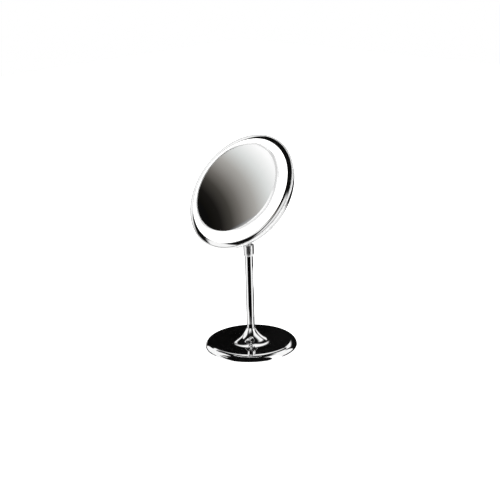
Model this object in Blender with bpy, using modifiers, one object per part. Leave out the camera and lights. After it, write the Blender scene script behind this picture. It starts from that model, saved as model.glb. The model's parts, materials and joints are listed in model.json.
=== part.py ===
"""A lighted vanity mirror: a round magnifying glass with a lit frosted ring, tilting on a telescopic stand.

World frame: metres, +Z up, the origin on the table at the centre of the round base. The mirror faces -Y
and is tilted back by TILT_DEG. Every length below is in millimetres, and MM turns it into metres where a
mesh is made. The stand is modelled in the world frame. The head is modelled in a face frame of its own,
with x to its right, y up across the glass and z out of the glass, zero at the centre of the rim plane.
"""

import math

import bmesh
import bpy
from mathutils import Euler, Matrix, Vector

MM = 0.001
GAP = 0.3  # clearance between neighbouring pieces
OVERLAP = 0.5  # how far pieces reach into each other before they are joined into one
DRILL_MARGIN = 1.0  # how far a cutter runs past the faces that it cuts
ROUND = 32  # facets round a large turned piece
ROUND_SMALL = 20  # facets round a thin one
SHARP_ANGLE = math.radians(35)

# How the head stands: the tilt hinge is on the stem's axis, behind and below the middle of the glass.
TILT_DEG = 37.3
PIVOT_HEIGHT = 231.7
PIVOT_BACK = 47.0
PIVOT_DROP = 34.5

# Base: a trumpet-shaped cover over a cast weight, on a flat pad.
PAD_R = 75.0
PAD_HEIGHT = 2.0
COVER_WALL = 0.8
COVER_RIM_R = 81.5
COVER_RIM_Z = 0.8
SHOULDER_R = 69.5
SHOULDER_Z = 10.3
FLARE_FOOT_R = 46.0
FLARE_FOOT_Z = 10.8
FLARE_POWER = 2.5
NECK_R = 8.1
NECK_TOP_Z = 33.6
WEIGHT_R = 74.0
WEIGHT_EDGE_Z = 6.0
WEIGHT_TOP_R = 68.0
WEIGHT_TOP_Z = 9.0
BOSS_FOOT_R = 30.0
BOSS_R = 13.0
BOSS_TOP_Z = 15.0
COUNTERBORE_R = 8.5
COUNTERBORE_TOP_Z = 8.8

# The bolt that pulls the stem down on the weight, and its washers.
BOLT_R = 3.0
BOLT_HOLE_R = BOLT_R + GAP
BOLT_HEAD_R = 5.6
BOLT_HEAD_HEIGHT = 3.0
BOLT_TOP_Z = 30.0
BASE_WASHER_R = 7.5
BASE_WASHER_HEIGHT = 1.3
LOCK_WASHER_R = 5.4
LOCK_WASHER_HEIGHT = 1.0
LOCK_WASHER_SLIT = 1.0
PLUG_TOP_Z = 33.0

# Stem: a tube with a clamping collar on top, and a rod that slides and turns in it.
TUBE_R = 7.0
TUBE_BORE_R = 6.2
TUBE_TOP_Z = 178.0
COLLAR_R = 9.25
COLLAR_BOTTOM_Z = 167.4
COLLAR_CHAMFER_Z = 172.0
COLLAR_TOP_Z = 187.6
COLLAR_MIDDLE_Z = (COLLAR_BOTTOM_Z + COLLAR_TOP_Z) / 2
COLLAR_LIP = 3.0
COLLAR_EDGE = 0.6
BUSH_BOTTOM_Z = 163.0
BUSH_HEAD_R = 6.8
BUSH_HEAD_EDGE = 1.5
BUSH_HEAD_TAPER = 1.0
BUSH_SLIT = 1.2
ROD_R = 4.5
ROD_BOTTOM_Z = 60.0
SPIGOT_R = 3.2
SPIGOT_TOP_Z = 84.3
GROOVE_R = 2.4
GROOVE_Z = 61.5
GROOVE_WIDTH = 1.4
CLIP_R = 5.2
CLIP_MOUTH = 3.6
GUIDE_BOTTOM_Z = 63.2

# Tilt hinge: a knuckle on the rod between the two ears of a yoke on the head.
KNUCKLE_R = 8.0
KNUCKLE_HALF_WIDTH = 4.5
KNUCKLE_NECK_R = 5.6
KNUCKLE_NECK_TOP_DROP = 8.2
KNUCKLE_NECK_DROP = 17.7
KNUCKLE_WEB_SIZE = (8.8, 6.6, 7.0)
KNUCKLE_WEB_DROP = 6.5
SOCKET_TOP_DROP = 8.3
PIVOT_R = 2.5
CROSS_PIN_R = 1.2
CROSS_PIN_DROP = 13.0
CROSS_PIN_HALF_LENGTH = 5.4
FRICTION_WASHER_R = 7.4
FRICTION_WASHER_THICKNESS = 0.8
EAR_THICKNESS = 2.5
EAR_END_R = 8.0
EAR_ROOT_HALF_HEIGHT = 12.0
YOKE_HALF_WIDTH = 13.0
YOKE_HALF_HEIGHT = 16.0
YOKE_THICKNESS = 2.5
PIVOT_HEAD_R = 4.4
PIVOT_HEAD_HEIGHT = 3.0
PIVOT_HEAD_TAPER = (1.2, 1.0)  # across, along
SPRING_WASHER_R = 4.3
SPRING_WASHER_THICKNESS = 1.0
SPRING_WASHER_SLIT = 0.8
NUT_R = 4.6
NUT_HEIGHT = 3.6
NUT_DOME_R = 3.9
NUT_DOME_START = 1.0
YOKE_PLATE_THICKNESS = 1.5
YOKE_SCREW_R = 2.0
YOKE_SCREW_HEAD_R = 3.6
YOKE_SCREW_HEAD_HEIGHT = 2.2
YOKE_SCREW_OFFSET = 12.0

# Head shell: a dish with a rolled bead round its mouth.
SHELL_WALL = 0.9
BEAD_CENTRE_R = 106.4
BEAD_CENTRE_Z = -0.4
BEAD_R = 1.6
BEAD_START_DEG = 150.0
BEAD_END_DEG = -75.0
DISH_R = 105.0
DISH_EDGE_Z = -2.0
DISH_FLAT_R = 62.0
DISH_BACK_Z = -30.0
SHELL_INSIDE_Z = DISH_BACK_Z + SHELL_WALL

# Front of the head, from the bead inwards.
FLANGE_R = 104.9
FLANGE_EDGE_Z = 1.3
FLANGE_EDGE_THICKNESS = 0.5
FLANGE_BORE_R = 97.6
FLANGE_BORE_Z = 3.6
FLANGE_BULGE = 0.35
FLANGE_THICKNESS = 1.2
FLANGE_WALL_R = 98.8
FLANGE_LEDGE_R = 93.0
FLANGE_LEDGE_Z = -6.0
DIFFUSER_R = 97.3
DIFFUSER_EDGE_Z = 3.6
DIFFUSER_SKIRT_Z = 0.6
DIFFUSER_TOP_R = 86.3
DIFFUSER_TOP_Z = 10.2
DIFFUSER_BORE_R = 83.8
DIFFUSER_BULGE = 1.6
DIFFUSER_WALL = 1.6
BEZEL_R = 86.6
BEZEL_FOOT_Z = 10.6
BEZEL_CREST_R = 83.2
BEZEL_CREST_Z = 15.6
BEZEL_BORE_R = 81.5
BEZEL_BORE_Z = 14.4
BEZEL_LIP = 0.5
BEZEL_CREST_WIDTH = 0.8
BEZEL_BULGE = 0.7
GLASS_R = 82.6
GLASS_EDGE_Z = 14.1
GLASS_SAG = 5.6
GLASS_THICKNESS = 2.5
CARRIER_FRONT_Z = 4.0
CARRIER_BACK_Z = 2.8
CARRIER_WALL_R = 80.0
CARRIER_LIP_TOP_Z = 11.2
CARRIER_LEDGE_R = 86.0
CARRIER_LEDGE_Z = 8.0
CARRIER_LEDGE_THICKNESS = 1.6
PAD_RING_BORE_R = 58.0
PAD_RING_R = 68.0
REFLECTOR_R = 96.9
REFLECTOR_BORE_R = 86.4
REFLECTOR_WALL = 0.9
REFLECTOR_BACK_Z = -4.0
REFLECTOR_OUTER_TOP_Z = 0.2
REFLECTOR_INNER_TOP_Z = 6.0
BOARD_BORE_R = 87.8
BOARD_R = 95.6
BOARD_BACK_Z = -2.2
BOARD_THICKNESS = 1.4
LED_COUNT = 24
LED_SIZE = (2.8, 3.5, 1.0)
LED_RING_R = 91.7

# Battery tray and its four cells, which stand side by side with their axes along y.
TRAY_HALF_WIDTH = 31.5
TRAY_BOTTOM_Y = -15.0
TRAY_TOP_Y = 43.0
TRAY_RIM_Z = -27.4
TRAY_FLOOR_Z = -9.4
TRAY_WALL = 1.2
CELL_R = 7.1
CELL_PITCH = 15.0
CELL_CENTRE_Z = -18.6
CELL_LENGTH = 49.2
CELL_EDGE = 0.8
NUB_R = 2.6
NUB_LENGTH = 1.2
CELL_MIDDLE_Y = 14.0
SPRING_WIRE_R = 0.35
SPRING_TURNS = 2.5
SPRING_POINTS_PER_TURN = 9
SPRING_FOOT_R = 3.8
SPRING_TIP_R = 2.2
CONTACT_THICKNESS = 0.4
CONTACT_HEIGHT = 9.0
CONTACT_LENGTH = 24.0

# Battery door in the back of the shell.
DOOR_HALF_WIDTH = 30.6
DOOR_BOTTOM_Y = -15.6
DOOR_TOP_Y = 43.6
DOOR_THICKNESS = 1.8
DOOR_CORNER_R = 3.0
DOOR_CLEARANCE = 0.4
DOOR_OPENING_DEPTH = 8.0
TONGUE_SIZE = (6.0, 3.6, 1.0)
TONGUE_X = 20.0
TONGUE_REACH = 1.3
TONGUE_MIDDLE_Z = -28.4
NOTCH_R = 7.0
NOTCH_CENTRE_Z = -35.4

# Switch, its button and the small board that drives the lamps.
SWITCH_X = 36.0
SWITCH_Y = -26.0
BUTTON_R = 4.8
BUTTON_PROUD = 2.0
BUTTON_EDGE = 0.8
BUTTON_FLANGE_R = 6.2
BUTTON_FLANGE_THICKNESS = 1.0
BUTTON_STEM_R = 1.8
BUTTON_STEM_END_Z = -22.5
SWITCH_SIZE = (12.0, 12.0, 9.0)
SWITCH_BACK_Z = -24.5
SWITCH_BORE_DEPTH = 5.0
DRIVER_X = (23.0, 49.0)
DRIVER_Y = (-37.0, -17.0)
DRIVER_BACK_Z = -15.2
DRIVER_THICKNESS = 1.6
COIL_R = 4.0
COIL_HEIGHT = 5.0
COIL_PLACE = (38.0, -30.0, 0.0)
CHIP_SIZE = (5.0, 4.0, 1.6)
CHIP_PLACE = (31.0, -32.0)

# Case screws, the bosses that they enter, and the posts that hold the tray and the small board.
CASE_SCREW_OFFSET = 42.4
CASE_BOSS_R = 4.0
CASE_SCREW_R = 1.3
CASE_SCREW_LENGTH = 9.0
CASE_HEAD_R = 3.2
CASE_HEAD_HEIGHT = 1.7
CASE_HEAD_TAPER = (1.2, 0.8)  # across, along
TRAY_POST_PLACES = ((-24.0, 0.0), (24.0, 0.0), (-24.0, 28.0), (24.0, 28.0))
DRIVER_POST_PLACES = ((26.0, -34.0), (46.0, -20.0))
POST_R = 2.2

# Leads inside the head: a few points that each one is bent through, in the face frame.
LEAD_R = 0.7
LEAD_STEP = 3.0
LED_LEAD_ANGLES_DEG = (-22.0, -26.0)
LED_LEAD_START_Y = (-26.0, -30.0)
LED_LEAD_LAP = 3.0  # how far a lamp lead reaches in and out over the small board's edge
LED_LEAD_LIFT = 1.0
LED_LEAD_ARCH = 3.5
LED_LEAD_TURN = 4.0  # how far beside and behind its hole a lamp lead starts to turn into it
LED_LEAD_ELBOW = (0.4, 1.5)
BATTERY_RED_ROUTE = ((26.0, -15.9, -12.0), (25.5, -17.5, -11.0), (26.5, -19.8, -11.0), (29.5, -22.0, -12.6))
BATTERY_BLACK_ROUTE = (
    (-22.0, -15.9, -12.0),
    (-20.0, -18.5, -9.0),
    (-6.0, -21.0, -6.5),
    (10.0, -22.0, -6.5),
    (21.0, -23.5, -9.0),
    (26.5, -25.5, -12.6),
)

# Finishes: colour, roughness and metallic value.
FINISHES = {
    "chrome": ((0.86, 0.87, 0.88), 0.05, 1.0),
    "collar_chrome": ((0.74, 0.74, 0.73), 0.22, 1.0),
    "steel": ((0.60, 0.61, 0.62), 0.30, 1.0),
    "cast_iron": ((0.10, 0.10, 0.105), 0.75, 0.6),
    "pad_rubber": ((0.03, 0.03, 0.032), 0.85, 0.0),
    "nylon": ((0.88, 0.87, 0.83), 0.45, 0.0),
    "frosted_acrylic": ((0.96, 0.96, 0.94), 0.35, 0.0),
    "mirror_silver": ((0.93, 0.94, 0.94), 0.01, 1.0),
    "white_plastic": ((0.90, 0.90, 0.88), 0.40, 0.0),
    "black_plastic": ((0.03, 0.03, 0.03), 0.45, 0.0),
    "foam": ((0.12, 0.12, 0.13), 0.95, 0.0),
    "circuit_board": ((0.85, 0.87, 0.84), 0.40, 0.0),
    "cell_wrap": ((0.20, 0.22, 0.25), 0.30, 0.0),
    "nickel": ((0.72, 0.69, 0.62), 0.25, 1.0),
    "red_lead": ((0.55, 0.03, 0.03), 0.45, 0.0),
    "black_lead": ((0.02, 0.02, 0.02), 0.45, 0.0),
}

AROUND_X = Euler((0, math.pi / 2, 0))  # turns a piece made along Z so that it lies along X


# Helpers: each one makes an object from millimetres.


def clear_scene():
    for item in list(bpy.data.objects):
        bpy.data.objects.remove(item, do_unlink=True)


def make_collection(name):
    made = bpy.data.collections.new(name)
    bpy.context.scene.collection.children.link(made)
    return made


def make_finishes():
    made = {}
    for name, (colour, roughness, metallic) in FINISHES.items():
        material = bpy.data.materials.new(name)
        material.use_nodes = True
        shader = material.node_tree.nodes["Principled BSDF"]
        shader.inputs["Base Color"].default_value = (*colour, 1.0)
        shader.inputs["Roughness"].default_value = roughness
        shader.inputs["Metallic"].default_value = metallic
        made[name] = material
    return made


def make_frame(name, parent, place, rotation=(0, 0, 0)):
    """An empty at place, in its parent's frame."""
    frame = bpy.data.objects.new(name, None)
    PARTS.objects.link(frame)
    frame.parent = parent
    frame.location = Vector(place) * MM
    frame.rotation_euler = rotation
    return frame


def add_object(name, mesh, frame, finish, place=(0, 0, 0), rotation=(0, 0, 0)):
    made = bpy.data.objects.new(name, mesh)
    PARTS.objects.link(made)
    made.parent = frame
    made.location = Vector(place) * MM
    made.rotation_euler = rotation
    made.data.materials.append(MATERIALS[finish])
    return made


def settle_mesh(item):
    """Swaps an object's modifiers, or a curve, for the mesh that they make, smooth between sharp edges."""
    bpy.context.view_layer.update()
    graph = bpy.context.evaluated_depsgraph_get()
    mesh = bpy.data.meshes.new_from_object(item.evaluated_get(graph))
    settled = bpy.data.objects.new("settled", mesh)
    PARTS.objects.link(settled)
    settled.parent = item.parent
    settled.location = item.location
    settled.rotation_euler = item.rotation_euler
    name = item.name
    bpy.data.objects.remove(item, do_unlink=True)
    settled.name = name
    weld = bmesh.new()
    weld.from_mesh(mesh)
    bmesh.ops.remove_doubles(weld, verts=weld.verts, dist=0.00001)
    weld.to_mesh(mesh)
    weld.free()
    mesh.shade_smooth()
    mesh.set_sharp_from_angle(angle=SHARP_ANGLE)
    return settled


def turned(name, profile, frame, finish, steps=ROUND_SMALL, wall=0.0, **where):
    """A turned piece: (radius, z) points that run down its outer side, closed unless it meets the axis."""
    mesh = bpy.data.meshes.new(name)
    points = [Vector((radius, 0, z)) * MM for radius, z in profile]
    edges = [(i, i + 1) for i in range(len(points) - 1)]
    meets_axis = profile[0][0] == 0 or profile[-1][0] == 0
    if not meets_axis and not wall:
        edges.append((len(points) - 1, 0))
    mesh.from_pydata(points, edges, [])
    made = add_object(name, mesh, frame, finish, **where)
    screw = made.modifiers.new("Screw", "SCREW")
    screw.steps = steps
    screw.render_steps = steps
    screw.use_merge_vertices = True
    screw.merge_threshold = 0.00001
    if wall:
        shell = made.modifiers.new("Wall", "SOLIDIFY")
        shell.thickness = wall * MM
        shell.offset = -1
        shell.use_even_offset = True
    return settle_mesh(made)


def disc(name, radius, bottom, top, frame, finish, **more):
    profile = [(0, top), (radius, top), (radius, bottom), (0, bottom)]
    return turned(name, profile, frame, finish, **more)


def ring(name, bore, radius, bottom, top, frame, finish, **more):
    profile = [(bore, top), (radius, top), (radius, bottom), (bore, bottom)]
    return turned(name, profile, frame, finish, **more)


def block(name, low, high, frame, finish):
    """A box from its low corner to its high corner."""
    middle = (Vector(low) + Vector(high)) / 2
    size = Vector(high) - Vector(low)
    cube = bmesh.new()
    bmesh.ops.create_cube(cube, size=1.0, matrix=Matrix.Diagonal((*(size * MM), 1.0)))
    mesh = bpy.data.meshes.new(name)
    cube.to_mesh(mesh)
    cube.free()
    return add_object(name, mesh, frame, finish, place=middle)


def middle_block(name, middle, size, frame, finish):
    half = Vector(size) / 2
    return block(name, Vector(middle) - half, Vector(middle) + half, frame, finish)


def hexagon(name, radius, bottom, top, frame, finish, **where):
    return disc(name, radius, bottom, top, frame, finish, steps=6, **where)


def flat_outline(name, outline, thickness, frame, finish, place=(0, 0, 0), rotation=(0, 0, 0)):
    """A plate cut to an outline in its own x and y, half its thickness to each side."""
    curve = bpy.data.curves.new(name, "CURVE")
    curve.dimensions = "2D"
    curve.fill_mode = "BOTH"
    curve.extrude = thickness * MM / 2
    spline = curve.splines.new("POLY")
    spline.points.add(len(outline) - 1)
    for point, (x, y) in zip(spline.points, outline):
        point.co = (x * MM, y * MM, 0, 1)
    spline.use_cyclic_u = True
    made = add_object(name, curve, frame, finish, place=place, rotation=rotation)
    return settle_mesh(made)


def wire(name, points, radius, frame, finish):
    """A round wire through the points."""
    curve = bpy.data.curves.new(name, "CURVE")
    curve.dimensions = "3D"
    curve.bevel_depth = radius * MM
    curve.bevel_resolution = 1
    curve.use_fill_caps = True
    spline = curve.splines.new("POLY")
    spline.points.add(len(points) - 1)
    for point, place in zip(spline.points, points):
        point.co = (*(Vector(place) * MM), 1)
    return settle_mesh(add_object(name, curve, frame, finish))


def smooth_route(route, step):
    """Points about a step apart on a smooth curve through the route's own points."""
    ends = [2 * Vector(route[0]) - Vector(route[1]), 2 * Vector(route[-1]) - Vector(route[-2])]
    knots = [ends[0], *map(Vector, route), ends[1]]
    points = []
    for before, start, end, after in zip(knots, knots[1:], knots[2:], knots[3:]):
        count = max(2, round((end - start).length / step))
        for index in range(count):
            t = index / count
            straight = start + t * (end - start)
            bend = (start - before) - (end - start), (end - start) - (after - end)
            points.append(straight + t * (1 - t) * ((1 - t) * bend[0] + t * bend[1]) / 2)
    return [*points, knots[-2]]


def combine(target, tool, operation):
    """Cuts or joins a tool to a piece, and keeps the tool as a wire guide."""
    PARTS.objects.unlink(tool)
    CUTTERS.objects.link(tool)
    tool.hide_render = True
    tool.display_type = "WIRE"
    change = target.modifiers.new(tool.name, "BOOLEAN")
    change.operation = operation
    change.object = tool


def cut(target, *tools):
    for tool in tools:
        combine(target, tool, "DIFFERENCE")
    return target


def join(target, *tools):
    for tool in tools:
        combine(target, tool, "UNION")
    return target


def arc(centre, radius, start_deg, end_deg, count):
    """Points along an arc, its end points included."""
    points = []
    for index in range(count + 1):
        angle = math.radians(start_deg + (end_deg - start_deg) * index / count)
        points.append((centre[0] + radius * math.cos(angle), centre[1] + radius * math.sin(angle)))
    return points


# Base


def cover_profile():
    """The trumpet's outer side, from the neck down the flare, across the flat and over the shoulder."""
    flare = []
    for share in (0, 0.07, 0.16, 0.28, 0.42, 0.60, 0.80, 1.0):
        radius = NECK_R + share * (FLARE_FOOT_R - NECK_R)
        height = FLARE_FOOT_Z + (NECK_TOP_Z - FLARE_FOOT_Z) * (1 - share) ** FLARE_POWER
        flare.append((radius, height))
    shoulder = []
    for angle in (90, 66, 44, 24, 8, 0):
        radius = SHOULDER_R + (COVER_RIM_R - SHOULDER_R) * math.cos(math.radians(angle))
        height = COVER_RIM_Z + (SHOULDER_Z - COVER_RIM_Z) * math.sin(math.radians(angle))
        shoulder.append((radius, height))
    return flare + shoulder


def make_base():
    disc("foot_pad", PAD_R, 0, PAD_HEIGHT, None, "pad_rubber", steps=ROUND)
    turned("base_cover", cover_profile(), None, "chrome", steps=ROUND, wall=COVER_WALL)
    pad_top = PAD_HEIGHT + GAP
    weight = [
        (BOLT_HOLE_R, BOSS_TOP_Z),
        (BOSS_R, BOSS_TOP_Z),
        (BOSS_FOOT_R, WEIGHT_TOP_Z),
        (WEIGHT_TOP_R, WEIGHT_TOP_Z),
        (WEIGHT_R, WEIGHT_EDGE_Z),
        (WEIGHT_R, pad_top),
        (COUNTERBORE_R, pad_top),
        (COUNTERBORE_R, COUNTERBORE_TOP_Z),
        (BOLT_HOLE_R, COUNTERBORE_TOP_Z),
    ]
    turned("base_weight", weight, None, "cast_iron", steps=ROUND)


def make_base_bolt():
    washer_top = COUNTERBORE_TOP_Z - GAP
    washer_bottom = washer_top - BASE_WASHER_HEIGHT
    ring("base_washer", BOLT_HOLE_R, BASE_WASHER_R, washer_bottom, washer_top, None, "steel")
    lock_top = washer_bottom - GAP
    lock_bottom = lock_top - LOCK_WASHER_HEIGHT
    lock = ring("base_lock_washer", BOLT_HOLE_R, LOCK_WASHER_R, lock_bottom, lock_top, None, "steel")
    slit_low = (0, -LOCK_WASHER_SLIT / 2, lock_bottom - DRILL_MARGIN)
    slit_high = (BASE_WASHER_R, LOCK_WASHER_SLIT / 2, lock_top + DRILL_MARGIN)
    cut(lock, block("lock_washer_slit", slit_low, slit_high, None, "steel"))
    head_top = lock_bottom - GAP
    head_bottom = head_top - BOLT_HEAD_HEIGHT
    bolt = disc("base_bolt", BOLT_R, head_top - OVERLAP, BOLT_TOP_Z, None, "steel")
    join(bolt, hexagon("base_bolt_head", BOLT_HEAD_R, head_bottom, head_top, None, "steel"))


# Stem


def make_stem():
    foot = BOSS_TOP_Z + GAP
    ring("stem_tube", TUBE_BORE_R, TUBE_R, foot, TUBE_TOP_Z, None, "chrome", steps=24)
    plug_r = TUBE_BORE_R - GAP
    ring("stem_plug", BOLT_HOLE_R, plug_r, foot, PLUG_TOP_Z, None, "steel", steps=24)
    bore = ROD_R + GAP
    head_bottom = TUBE_TOP_Z + GAP
    head_top = COLLAR_TOP_Z - COLLAR_LIP - GAP
    profile = [
        (bore, head_top),
        (BUSH_HEAD_R - BUSH_HEAD_TAPER, head_top),
        (BUSH_HEAD_R, head_bottom + BUSH_HEAD_EDGE),
        (BUSH_HEAD_R, head_bottom),
        (plug_r, head_bottom),
        (plug_r, BUSH_BOTTOM_Z),
        (bore, BUSH_BOTTOM_Z),
    ]
    bush = turned("friction_bush", profile, None, "nylon", steps=24)
    slit_low = (0, -BUSH_SLIT / 2, BUSH_BOTTOM_Z - DRILL_MARGIN)
    slit_high = (BUSH_HEAD_R + DRILL_MARGIN, BUSH_SLIT / 2, COLLAR_TOP_Z)
    cut(bush, block("bush_slit", slit_low, slit_high, None, "nylon"))


def make_collar(collar_axis):
    """The clamping collar, which turns on the tube's thread and squeezes the bush on the rod."""
    bore = TUBE_R + GAP
    rod_hole = ROD_R + GAP
    profile = [
        (rod_hole, COLLAR_TOP_Z),
        (COLLAR_R - COLLAR_EDGE, COLLAR_TOP_Z),
        (COLLAR_R, COLLAR_TOP_Z - COLLAR_EDGE),
        (COLLAR_R, COLLAR_CHAMFER_Z),
        (bore + COLLAR_EDGE, COLLAR_BOTTOM_Z),
        (bore, COLLAR_BOTTOM_Z),
        (bore, COLLAR_TOP_Z - COLLAR_LIP),
        (rod_hole, COLLAR_TOP_Z - COLLAR_LIP),
    ]
    profile = [(radius, height - COLLAR_MIDDLE_Z) for radius, height in profile]
    turned("stem_collar", profile, collar_axis, "collar_chrome", steps=24)


def make_rod(mast_axis):
    """The rod, in a frame at the tilt hinge: z is measured down from the pivot."""
    top = -SOCKET_TOP_DROP - GAP
    bottom = ROD_BOTTOM_Z - PIVOT_HEIGHT
    shoulder = SPIGOT_TOP_Z - PIVOT_HEIGHT
    groove = GROOVE_Z - PIVOT_HEIGHT
    profile = [
        (0, top),
        (ROD_R, top),
        (ROD_R, shoulder),
        (SPIGOT_R, shoulder),
        (SPIGOT_R, groove + GROOVE_WIDTH),
        (GROOVE_R, groove + GROOVE_WIDTH),
        (GROOVE_R, groove),
        (SPIGOT_R, groove),
        (SPIGOT_R, bottom),
        (0, bottom),
    ]
    rod = turned("mast_rod", profile, mast_axis, "chrome", steps=24)
    cut(rod, cross_hole("rod_cross_hole", mast_axis))
    clip_top = groove + GROOVE_WIDTH - GAP
    clip = ring("retaining_clip", GROOVE_R + GAP, CLIP_R, groove + GAP, clip_top, mast_axis, "steel")
    mouth_low = (0, -CLIP_MOUTH / 2, groove)
    mouth_high = (CLIP_R + DRILL_MARGIN, CLIP_MOUTH / 2, groove + GROOVE_WIDTH)
    cut(clip, block("clip_mouth", mouth_low, mouth_high, mast_axis, "steel"))


def cross_hole(name, mast_axis):
    reach = CROSS_PIN_HALF_LENGTH + DRILL_MARGIN
    drill = CROSS_PIN_R + GAP
    place = (0, 0, -CROSS_PIN_DROP)
    return disc(name, drill, -reach, reach, mast_axis, "steel", steps=12, place=place, rotation=AROUND_X)


def make_guide_sleeve(lift_axis):
    """The nylon sleeve on the rod's lower end, which runs in the tube while the rod turns in it."""
    ring(
        "guide_sleeve",
        SPIGOT_R + GAP,
        TUBE_BORE_R - GAP,
        GUIDE_BOTTOM_Z,
        SPIGOT_TOP_Z - GAP,
        lift_axis,
        "nylon",
        steps=24,
        place=(0, 0, -GUIDE_BOTTOM_Z),
    )


def make_knuckle(mast_axis):
    half = KNUCKLE_HALF_WIDTH
    knuckle = disc("pivot_knuckle", KNUCKLE_R, -half, half, mast_axis, "chrome", steps=28, rotation=AROUND_X)
    neck_top = -KNUCKLE_NECK_TOP_DROP
    neck = disc("knuckle_neck", KNUCKLE_NECK_R, -KNUCKLE_NECK_DROP, neck_top, mast_axis, "chrome", steps=24)
    web = middle_block("knuckle_web", (0, 0, -KNUCKLE_WEB_DROP), KNUCKLE_WEB_SIZE, mast_axis, "chrome")
    socket_bottom = -KNUCKLE_NECK_DROP - DRILL_MARGIN
    socket_r = ROD_R + GAP
    socket = disc("knuckle_socket", socket_r, socket_bottom, -SOCKET_TOP_DROP, mast_axis, "chrome", steps=24)
    reach = half + DRILL_MARGIN
    pivot_hole = disc("knuckle_bore", PIVOT_R + GAP, -reach, reach, mast_axis, "chrome", rotation=AROUND_X)
    join(knuckle, web, neck)
    cut(knuckle, socket, pivot_hole, cross_hole("knuckle_cross_hole", mast_axis))
    half_pin = CROSS_PIN_HALF_LENGTH
    place = (0, 0, -CROSS_PIN_DROP)
    where = {"place": place, "rotation": AROUND_X}
    disc("cross_pin", CROSS_PIN_R, -half_pin, half_pin, mast_axis, "steel", steps=12, **where)


# Tilt hinge on the head, in the face frame


def ear_outline():
    """An ear's outline: x is the depth behind the rim plane, y the height across the glass."""
    root = PIVOT_BACK + (DISH_BACK_Z - GAP - YOKE_THICKNESS + OVERLAP)
    around_end = arc((0, 0), EAR_END_R, -90, 90, 10)
    return [(-root, EAR_ROOT_HALF_HEIGHT), (-root, -EAR_ROOT_HALF_HEIGHT), *around_end]


def make_yoke(face):
    back = DISH_BACK_Z - GAP
    low = (-YOKE_HALF_WIDTH, -PIVOT_DROP - YOKE_HALF_HEIGHT, back - YOKE_THICKNESS)
    high = (YOKE_HALF_WIDTH, -PIVOT_DROP + YOKE_HALF_HEIGHT, back)
    yoke = block("pivot_yoke", low, high, face, "chrome")
    inner = KNUCKLE_HALF_WIDTH + 2 * GAP + FRICTION_WASHER_THICKNESS
    middle = inner + EAR_THICKNESS / 2
    for name, x in (("ear_left", -middle), ("ear_right", middle)):
        where = {"place": (x, -PIVOT_DROP, -PIVOT_BACK), "rotation": AROUND_X}
        join(yoke, flat_outline(name, ear_outline(), EAR_THICKNESS, face, "chrome", **where))
    reach = inner + EAR_THICKNESS + DRILL_MARGIN
    cut(yoke, along_pivot("yoke_bore", PIVOT_R + GAP, -reach, reach, face, "chrome"))
    for name, y in yoke_screw_places():
        cut(yoke, screw_hole(name + "_yoke_hole", 0, y, YOKE_SCREW_R + GAP, face))


def along_pivot(name, radius, start, end, face, finish, steps=16):
    place = (0, -PIVOT_DROP, -PIVOT_BACK)
    return disc(name, radius, start, end, face, finish, steps=steps, place=place, rotation=AROUND_X)


def ring_on_pivot(name, radius, start, end, face, finish):
    place = (0, -PIVOT_DROP, -PIVOT_BACK)
    return ring(name, PIVOT_R + GAP, radius, start, end, face, finish, place=place, rotation=AROUND_X)


def yoke_screw_places():
    return (
        ("yoke_screw_upper", -PIVOT_DROP + YOKE_SCREW_OFFSET),
        ("yoke_screw_lower", -PIVOT_DROP - YOKE_SCREW_OFFSET),
    )


def screw_hole(name, x, y, radius, face):
    """A drill through the back of the head."""
    back = DISH_BACK_Z - YOKE_THICKNESS - DRILL_MARGIN
    front = SHELL_INSIDE_Z + YOKE_PLATE_THICKNESS + DRILL_MARGIN
    return disc(name, radius, back, front, face, "steel", steps=12, place=(x, y, 0))


def make_pivot_washers(face):
    """The two nylon washers, and the spring washer under the nut; gives the x of the ears' outer sides."""
    inner = KNUCKLE_HALF_WIDTH + GAP
    outer = inner + FRICTION_WASHER_THICKNESS
    ring_on_pivot("friction_washer_left", FRICTION_WASHER_R, -outer, -inner, face, "nylon")
    ring_on_pivot("friction_washer_right", FRICTION_WASHER_R, inner, outer, face, "nylon")
    ear_side = outer + GAP + EAR_THICKNESS + GAP
    spring_end = ear_side + SPRING_WASHER_THICKNESS
    spring = ring_on_pivot("spring_washer", SPRING_WASHER_R, ear_side, spring_end, face, "steel")
    slit_top = -PIVOT_DROP + SPRING_WASHER_R + DRILL_MARGIN
    slit_low = (ear_side - DRILL_MARGIN, -PIVOT_DROP, -PIVOT_BACK - SPRING_WASHER_SLIT / 2)
    slit_high = (spring_end + DRILL_MARGIN, slit_top, -PIVOT_BACK + SPRING_WASHER_SLIT / 2)
    cut(spring, block("spring_washer_slit", slit_low, slit_high, face, "steel"))
    return ear_side


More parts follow.
